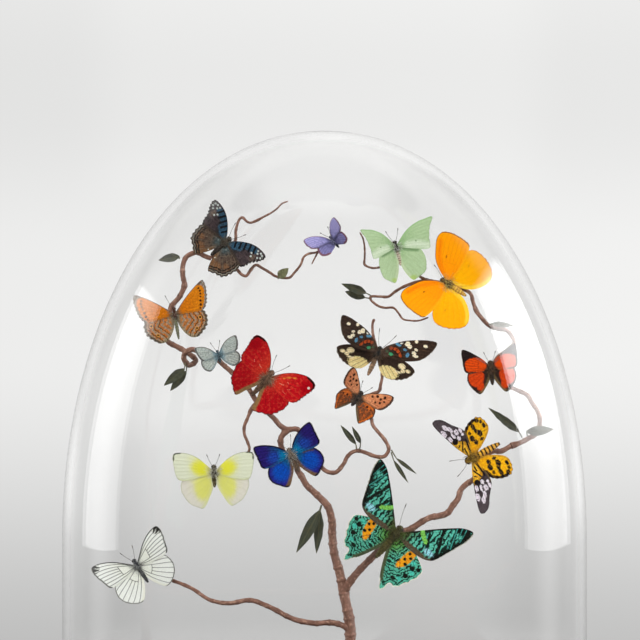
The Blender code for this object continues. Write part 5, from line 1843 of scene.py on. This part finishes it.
@dataclass(frozen=True)
class Leaf:
    """A dry leaf: its stalk's start, the foot and the tip of its blade, and the blade's half width.

    `fold` is the angle that each half is turned up about the midrib, and `bow` how far the midrib
    bows forward. `fresh` is from 0, dark, to 1, pale.
    """

    name: str
    stalk: Point
    foot: Point
    tip: Point
    half_width: float
    fold: float = 25.0
    bow: float = 1.5
    fresh: float = 0.0

    def build(self, finish: bpy.types.Material) -> None:
        """The curled blade and its stalk.

        Args:
            finish: the material.
        """
        foot, tip = np.array(self.foot, float), np.array(self.tip, float)
        length = float(np.linalg.norm(tip - foot))
        along = (tip - foot) / length
        front = np.array([0.0, -1.0, 0.0]) - along * -along[1]
        front /= np.linalg.norm(front)
        side = np.cross(along, front)
        share = np.linspace(0, 1, LEAF_ROWS)[:, None]
        across = np.linspace(-1, 1, LEAF_COLUMNS)[None, :]
        curve = smooth(LEAF_WIDTHS)
        reach = np.interp(share, curve[:, 0], curve[:, 1]) * self.half_width
        seed = len(self.name) * 7 + int(self.tip[0])
        bent = np.hypot(across, 0.16) - 0.16
        ruffle = sum(depth * np.sin(share * waves + seed * shift) * across ** power
                     for depth, waves, shift, power in RUFFLES)
        teeth = 1 + TEETH[0] * np.cos(share * length * 2 * pi / TEETH[1]) * across ** 8
        fold = radians(self.fold) * (1 + 0.2 * np.sin(share * 3 + seed))
        bowed = self.bow * np.sin(pi * share)
        middle = foot + along * (share * length)[..., None] + front * bowed[..., None]
        blade = (middle + side * (across * reach * np.cos(fold) * teeth)[..., None]
                 + front * (bent * reach * np.sin(fold) + ruffle * reach)[..., None])
        rib = MIDRIB[0] * np.exp(-(across / MIDRIB[1]) ** 2) * (1 - 0.6 * share)
        half = (LEAF_SHELL / 2 * (1 - 0.7 * np.abs(across) ** 3) + rib / 2)[..., None] * front
        plan = np.stack(np.broadcast_arrays(across * reach, share * length, float(seed)), -1)
        skin = Skin()
        skin.loft(wrapped(blade + half, blade - half), leaf=wrapped(plan), fresh=self.fresh)
        stem = even(smooth([self.stalk, tuple((np.array(self.stalk) + foot) / 2 + front * 0.25),
                            tuple(foot + along * 0.4), tuple(foot + along * 1.6)]), STALK_ROWS)
        thick = np.linspace(STALK_RADIUS * 1.15, STALK_RADIUS * 0.6, STALK_ROWS)
        rings, _ = tube_rings(stem, thick, 10)
        skin.loft(rings, (None, tuple(stem[-1] + along * 0.3)), leaf=(0.0, 0.0, float(seed)),
                  fresh=self.fresh)
        keep(skin.make(self.name + "_blade", [finish]), "dry_leaf", self.name)

    @staticmethod
    def finish() -> bpy.types.Material:
        """Dull olive leaf that has dried brown along its veins.

        Returns:
            The material.
        """
        made, nodes, shader = material("dried_leaf", 0.55, Sheen_Weight=0.1)
        plan = nodes.vector("leaf")
        parts = nodes.add("SeparateXYZ", {0: plan}).outputs
        off = nodes.math("ABSOLUTE", parts[0])
        slant = nodes.scaled(off, -1.1, parts[1])
        ribs = nodes.math("SINE", nodes.times(slant, 2 * pi / 1.5))
        veins = nodes.math("MAXIMUM", nodes.rise(ribs, 0.75, 1.0), nodes.rise(off, 0.3, 0.1))
        blotch = nodes.rise(nodes.noise(plan, 0.35, 3.0), 0.42, 0.62)
        colour = nodes.mix(blotch, "363c33", "3f3f2f")
        colour = nodes.mix(nodes.value("fresh"), colour, "84845e")
        colour = nodes.mix(nodes.times(veins, 0.5), colour, "7c7450")
        grain = nodes.group(Effect.GRAIN.tree, Colour=colour, Dark="2c2c20", Vector=plan,
                            Size=1.6, Strength=0.5)
        height = nodes.scaled(veins, 0.7, grain.outputs["Height"])
        dress(nodes, shader, grain.outputs["Colour"], height, 0.12)
        return made


LEAVES = (
    Leaf("leaf_upper_left", (-91.2, -1.5, 341.0), (-91, -2, 342.5), (-104, -5, 340), 3.2, 28.0),
    Leaf("leaf_curl_a", (-87.0, -6.8, 275.5), (-87.3, -8, 272), (-100, -12, 261.5), 3.2),
    Leaf("leaf_curl_b", (-86.0, -5.6, 274.0), (-86.3, -4.6, 270.5), (-96.5, -2.5, 258), 3.0,
         bow=1.0),
    Leaf("leaf_round", (-29.0, 1.8, 328.4), (-29, 0.5, 329), (-22.5, -1, 335), 3.0, 20.0,
         fresh=0.8),
    Leaf("leaf_green_a", (28.6, -6.0, 317.9), (26, -8.5, 319.2), (10.5, -13, 325), 3.1),
    Leaf("leaf_green_b", (28.0, -5.4, 316.0), (25.5, -5.5, 316.3), (12.9, -3.5, 320.2), 3.0),
    Leaf("leaf_veiled", (103.0, -7.0, 299.6), (104, -8, 300), (118, -11, 299), 2.2),
    Leaf("leaf_long_right", (124.4, 5.6, 228.6), (122.5, 2.5, 232), (102.6, -4, 247.4), 2.9),
    Leaf("leaf_edge_right", (128.0, 4.6, 229.4), (127, 2.5, 232.2), (144.5, 1, 234), 3.3),
    Leaf("leaf_middle_a", (19.9, -15.2, 222.2), (19.6, -15.5, 225), (10, -17, 237), 2.0),
    Leaf("leaf_middle_b", (21.8, -16.4, 222.0), (22.4, -20, 226), (17, -25, 236.5), 1.8),
    Leaf("leaf_below_a", (41.5, -14.4, 220.0), (43, -14.5, 215), (52, -16, 201), 1.4),
    Leaf("leaf_below_b", (41.6, -16.4, 221.5), (44.5, -19.5, 216.5), (57, -24, 207), 1.3),
    Leaf("leaf_trunk_a", (-2.0, -2.2, 186.3), (-3.2, -3.4, 183), (-17.5, -8, 157), 3.6, 18.0),
    Leaf("leaf_trunk_b", (-1.8, -0.8, 186.0), (-2.6, -1.1, 182.4), (-5, -2, 156), 3.0, 18.0),
)


# --- dome and plinth -----------------------------------------------------------------------------
@dataclass(frozen=True)
class Dome:
    """The blown glass: a straight oval wall with a cap a little fuller than half an ellipsoid.

    `glass` is its thickness, `foot` and `lip` are the height of its lower edge and of the rounding
    there, and `spring` is where the cap starts. The lower its `fullness`, the squarer the cap.
    """

    half_width: float = 165.0
    half_depth: float = 107.0
    glass: float = 5.0
    foot: float = 30.35
    lip: float = 2.5
    spring: float = 164.0
    top: float = 422.0
    fullness: float = 0.97
    sides: int = 192

    def ring(self, offset: float, height: float, share: float = 1.0) -> np.ndarray:
        """An oval section of the glass, moved outwards by an offset and drawn in by a share."""
        return oval(self.sides, (self.half_width + offset) * share,
                    (self.half_depth + offset) * share, height)

    def surface(self, inset: float) -> list[np.ndarray]:
        """The outer surface's rings, or with an inset the inner one's, from above the foot up.

        Args:
            inset: how far it is inside the outer surface.

        Returns:
            The rings, each an array of points.
        """
        start, rise = self.foot + self.lip, self.top - self.spring - inset
        walls = [self.ring(-inset, height) for height in np.linspace(start, self.spring, 12)]
        cap = [self.ring(-inset, self.spring + rise * sin(turn) ** self.fullness,
                         cos(turn) ** self.fullness)
               for turn in np.linspace(0, pi / 2, 64)[1:-1]]
        return walls + cap

    def build(self) -> None:
        """The glass as one closed shell with a fire-polished foot."""
        inside, outside = self.surface(self.glass), self.surface(0.0)
        half = self.glass / 2
        lip = [self.ring(-half - half * cos(turn), self.foot + self.lip - self.lip * sin(turn))
               for turn in np.linspace(0, pi, 9)[1:-1]]
        skin = Skin()
        skin.loft(np.array(inside[::-1] + lip + outside),
                  ((0, 0, self.top - self.glass), (0, 0, self.top)))
        keep(skin.make("dome_glass", [self.finish()]), "clear_glass", "glass_dome")

    @staticmethod
    def finish() -> bpy.types.Material:
        """Clear soda glass with the faint unevenness of blowing.

        Returns:
            The material.
        """
        made, nodes, glass = material("blown_glass", 0.0, IOR=1.47, Transmission_Weight=1.0)
        nodes.feed(glass.inputs["Base Color"], "ffffff")
        places = nodes.places()
        sag = nodes.noise(nodes.stretch(places, 1.0, 1.0, 0.45), 9.0, 1.0)
        bump = nodes.add("Bump", {"Strength": 1.0, "Distance": 0.00004, "Height": sag})
        nodes.feed(glass.inputs["Normal"], bump.outputs[0])
        clear = nodes.add("BsdfTransparent", {0: "fafcfb"})
        shadow = nodes.add("LightPath").outputs["Is Shadow Ray"]
        both = nodes.add("MixShader", {0: shadow, 1: glass.outputs[0], 2: clear.outputs[0]})
        output = made.node_tree.nodes["Material Output"]
        made.node_tree.links.new(both.outputs[0], output.inputs["Surface"])
        return made


@dataclass(frozen=True)
class Plinth:
    """The turned and blackened oval stand, with a groove for the glass and a socket for the trunk.

    `groove` is the height of the groove's floor and `gap` its play on each side of the glass.
    `socket` is the middle of the socket's floor. `profile` holds (how far outside the glass,
    height) of the moulding, from the underside up.
    """

    dome: Dome
    height: float = 38.0
    groove: float = 30.0
    gap: float = 0.35
    socket: Point = (6.0, 8.0, 24.0)
    socket_radius: float = 5.2
    profile: tuple[tuple[Point, ...], ...] = (
        ((14.5, 0), (15.5, 0.4), (16, 1.5)),
        ((16, 1.5), (16, 7)),
        ((16, 7), (13.7, 7.9), (12, 10.5), (11, 17), (12.6, 21.8), (14, 24)),
        ((14, 24), (14.3, 27.6), (13.5, 31), (11.4, 35.4), (8, 38)),
    )

    def build(self) -> None:
        """The moulding, the groove, the flat top and the socket as one closed body."""
        rings, wear = [], []

        def add(ring: np.ndarray, worn: float = 0.0) -> None:
            """One more ring, and how worn it is."""
            rings.append(ring)
            wear.append(worn)

        for share in np.linspace(0.05, 0.96, 8):
            add(self.dome.ring(self.profile[0][0][0], 0.0, share))
        for i, part in enumerate(self.profile):
            curve = even(smooth(part), 4 if len(part) < 4 else 14)
            for j, (offset, height) in list(enumerate(curve))[1 if i else 0:]:
                edge = min(j, len(curve) - 1 - j)
                add(self.dome.ring(offset, height), max(0.0, 1 - edge * 0.6))
        top, gap, glass = self.height, self.gap, self.dome.glass + self.gap
        for offset, height, worn in ((4.5, top, 0), (gap + 0.5, top, 0.2), (gap, top - 0.5, 0.6),
                                     (gap, self.groove + 0.4, 0), (0.0, self.groove, 0),
                                     (0.3 - glass, self.groove, 0), (-glass, self.groove + 0.4, 0),
                                     (-glass, top - 0.5, 0.6), (-glass - 0.5, top, 0.2)):
            add(self.dome.ring(offset, height), worn)
        outer, floor, wall = rings[-1], self.socket[2], self.socket_radius

        def hole(radius: float, height: float) -> np.ndarray:
            """A ring round the socket's middle."""
            return oval(self.dome.sides, radius, radius, height, self.socket)

        for share in np.linspace(0, 1, 12)[1:]:
            add(outer * (1 - share) + hole(wall + 0.4, top) * share)
        for radius, height, worn in ((wall, top - 0.4, 0.5), (wall, floor + 0.3, 0.0),
                                     (wall - 0.3, floor, 0.0)):
            add(hole(radius, height), worn)
        skin = Skin()
        skin.loft(np.array(rings), ((0, 0, 0), self.socket), wear=np.array(wear)[:, None])
        keep(skin.make("plinth_wood", [self.finish()]), "ebonised_wood", "plinth")

    @staticmethod
    def finish() -> bpy.types.Material:
        """Stained and waxed wood whose grain shows through, rubbed brown on its edges.

        Returns:
            The material.
        """
        made, nodes, shader = material("ebonised_wood", 0.36, Coat_Roughness=0.2)
        places = nodes.places()
        fibres = nodes.stretch(places, 60.0, 700.0, 700.0)
        grain = nodes.group(Effect.GRAIN.tree, Colour="1c1715", Dark="0c0a09", Vector=fibres,
                            Size=1.0, Strength=1.0)
        rubbed = nodes.scaled(nodes.noise(places, 160.0, 4.0), 1.1,
                              nodes.minus(nodes.value("wear"), 1.0))
        worn = nodes.rise(rubbed, 0.28, 0.62)
        colour = nodes.mix(nodes.times(worn, 0.7), grain.outputs["Colour"], "4e3324")
        dust = nodes.rise(nodes.noise(places, 45.0, 5.0), 0.5, 0.8)
        colour = nodes.mix(nodes.times(dust, 0.12), colour, "6a625a")
        nodes.feed(shader.inputs["Coat Weight"], nodes.rise(dust, 1.0, 0.0))
        nodes.feed(shader.inputs["Roughness"], nodes.between(grain.outputs["Height"], 0.3, 0.48))
        dress(nodes, shader, colour, grain.outputs["Height"], 0.05)
        return made


# --- stage ---------------------------------------------------------------------------------------
class Lights(Enum):
    """What a lamp lights: everything, the glass alone as a reflection, or all but reflections."""

    ALL = "all"
    GLASS = "glass"
    PIECES = "pieces"


@dataclass(frozen=True)
class Stage:
    """The photograph's point of view, its light and the pale floor. Lengths are metres.

    `pale` is the backdrop's colour, and `room` how bright the room in front is in reflections.
    """

    eye: Point = (-0.0028, -1.8, 0.3028)
    lens: float = 160.714
    sensor: float = 36.0
    floor_radius: float = 0.95
    floor_sides: int = 96
    pale: Colour = "fefefd"
    room: float = 0.012

    def build(self) -> None:
        """Camera, lamps, surroundings and floor."""
        camera = put("camera", bpy.data.cameras.new("camera"))
        camera.data.lens, camera.data.sensor_width = self.lens, self.sensor
        camera.data.sensor_fit = "HORIZONTAL"
        camera.data.clip_start, camera.data.clip_end = 0.05, 20.0
        camera.location, camera.rotation_euler = self.eye, (pi / 2, 0, 0)
        bpy.context.scene.camera = camera
        left = self.lamp("left_softbox", (-1.2, 0.055, 0.5), (1, 0, 0), (0.63, 0.84), 3.5)
        self.grade(left, 0.8, ((0.3, 0.8, 0.2), (0.98, 1.0, -1.0)))
        place, size = (1.2, 0.08, 0.575), (0.84, 0.99)
        right = self.lamp("right_softbox", place, (-1, 0, 0), size, 15.0, Lights.GLASS)
        self.grade(right, 0.28, ((0.15, 0.6, 0.76), (0.7, 0.92, -0.42), (0.92, 1.0, -0.5)))
        for name, *lamp in (
                ("right_light", place, (-1, 0, 0), size, 8.0),
                ("key", (-0.7, -1.5, 1.7), (0.42, 0.8, -0.95), (1.0, 1.0), 42.0),
                ("fill", (0.9, -2.2, 0.9), (-0.38, 1.0, -0.25), (1.2, 1.2), 25.0)):
            self.lamp(name, *lamp, Lights.PIECES)
        self.surroundings()
        self.floor()
        bpy.context.scene.view_settings.view_transform = "Standard"

    @staticmethod
    def lamp(name: str, place: Point, way: Point, size: Point, power: float,
             lights: Lights = Lights.ALL) -> bpy.types.Light:
        """A rectangular lamp that shines along a direction.

        Args:
            name, place, way, size, power: the lamp's own.
            lights: what it lights.

        Returns:
            The lamp's data.
        """
        data = bpy.data.lights.new(name, "AREA")
        data.shape, data.size, data.size_y, data.energy = "RECTANGLE", *size, power
        lamp = put(name, data)
        lamp.location = place
        lamp.rotation_euler = Vector(way).to_track_quat("-Z", "Y").to_euler()
        lamp.visible_camera = False
        lamp.visible_diffuse = lights is not Lights.GLASS
        lamp.visible_glossy = lamp.visible_transmission = lights is not Lights.PIECES
        return data

    @staticmethod
    def grade(data: bpy.types.Light, lowest: float, steps: Sequence[Point]) -> None:
        """Let a softbox's brightness change with its height.

        Args:
            data: the lamp's data.
            lowest: its brightness at the foot.
            steps: (start, end, change) of each soft step, the heights in shares of the lamp's.
        """
        data.use_nodes = True
        nodes = Nodes(data.node_tree)
        place = nodes.add("NewGeometry").outputs["Parametric"]
        height = nodes.add("SeparateXYZ", {0: place}).outputs[1]
        strength = data.node_tree.nodes["Emission"].inputs["Strength"]
        nodes.feed(strength, nodes.stairs(height, lowest, steps))

    def surroundings(self) -> None:
        """A pale sweep, darker towards the floor, and for reflections a dim room in front."""
        world = bpy.data.worlds.new("studio")
        bpy.context.scene.world = world
        world.use_nodes = True
        nodes = Nodes(world.node_tree)
        facing = nodes.add("SeparateXYZ", {0: nodes.add("TexCoord").outputs["Generated"]}).outputs
        across, back, up = facing[0], facing[1], facing[2]
        aside = nodes.math("ABSOLUTE", across)
        sweep = nodes.stairs(up, 0.862, ((-0.01, -0.13, -0.36), (0.02, 0.075, -0.08),
                                         (0.085, 0.13, 0.05), (0.2, 0.4, 0.05)))
        bands = nodes.stairs(aside, 0.0, ((0.13, 0.18, -0.13), (0.28, 0.38, 0.19),
                                          (0.6, 0.75, -0.06)))
        pool = nodes.times(nodes.rise(aside, 0.09, 0.06), nodes.stairs(
            up, 1.0, ((-0.035, -0.005, -1.0), (0.03, 0.055, 0.5))))
        slope = nodes.math("MAXIMUM", nodes.math("MINIMUM", across, 0.12), -0.12)
        corner = nodes.times(nodes.rise(up, 0.35, 0.6), nodes.rise(aside, 0.3, 0.55))
        tone = sweep
        for change, strength in ((bands, nodes.rise(up, 0.2, 0.08)), (slope, 0.22), (pool, 0.09),
                                 (corner, -0.45)):
            tone = nodes.times(tone, nodes.scaled(change, strength, 1.0))
        path = nodes.add("LightPath").outputs
        bounced = nodes.math("MAXIMUM", path["Glossy Depth"], path["Diffuse Depth"])
        straight = nodes.rise(bounced, 0.9, 0.1)
        seen = nodes.math("MAXIMUM", nodes.rise(back, -0.12, 0.06), straight)
        tone = nodes.scaled(seen, tone, self.room)
        above = nodes.times(nodes.rise(up, 0.8, 0.93), nodes.rise(back, 0.1, -0.15))
        above = nodes.times(above, nodes.rise(aside, 0.55, 0.3))
        above = nodes.times(above, nodes.minus(1.0, straight))
        light = world.node_tree.nodes["Background"]
        nodes.feed(light.inputs["Color"], self.pale)
        nodes.feed(light.inputs["Strength"], nodes.scaled(above, 1.4, tone))

    def floor(self) -> None:
        """A round pale floor that fades out into the surroundings."""
        rings = np.array([oval(self.floor_sides, radius, radius, -0.2)
                          for radius in np.linspace(20, self.floor_radius / MM, 24)])
        skin = Skin()
        skin.loft(np.concatenate([rings, rings[::-1] - (0, 0, 0.3)]), ((0, 0, -0.2), (0, 0, -0.5)))
        made, nodes, shader = material("pale_floor", 0.6)
        places = nodes.places()
        away = nodes.add("VectorMath", {0: places}, operation="LENGTH").outputs[1]
        colour = nodes.mix(nodes.noise(places, 400.0), "e8e7e4", "e4e3e0")
        fade = nodes.rise(away, self.floor_radius * 0.98, self.floor_radius * 0.55)
        nodes.feed(shader.inputs["Base Color"], colour)
        nodes.feed(shader.inputs["Alpha"], fade)
        skin.make("floor", [made])


def main() -> None:
    """Build every piece in order, then the stage."""
    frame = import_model()
    log.info("packed model: %d nodes", len(frame["nodes"]))
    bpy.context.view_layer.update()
    dome = Dome()
    Plinth(dome).build()
    dome.build()
    ground = Skin()
    bark = Bark.finish("twig_bark", "b48c78", "5c4036")
    for twig in TWIGS:
        twig.build(bark, ground)
    pores = Bark.finish("twig_pores", "a88270", "6a4c40")
    keep(Growth.WART.grow("twig_lenticels", ground, pores, density=WART_DENSITY, length=1.0,
                          thickness=0.14, seed=5), "bark")
    leaf = Leaf.finish()
    for blade in LEAVES:
        blade.build(leaf)
    for insect in INSECTS:
        insect.build()
    Stage().build()


if __name__ == "__main__":
    logging.basicConfig(level=logging.INFO, format="%(name)s: %(message)s")
    main()
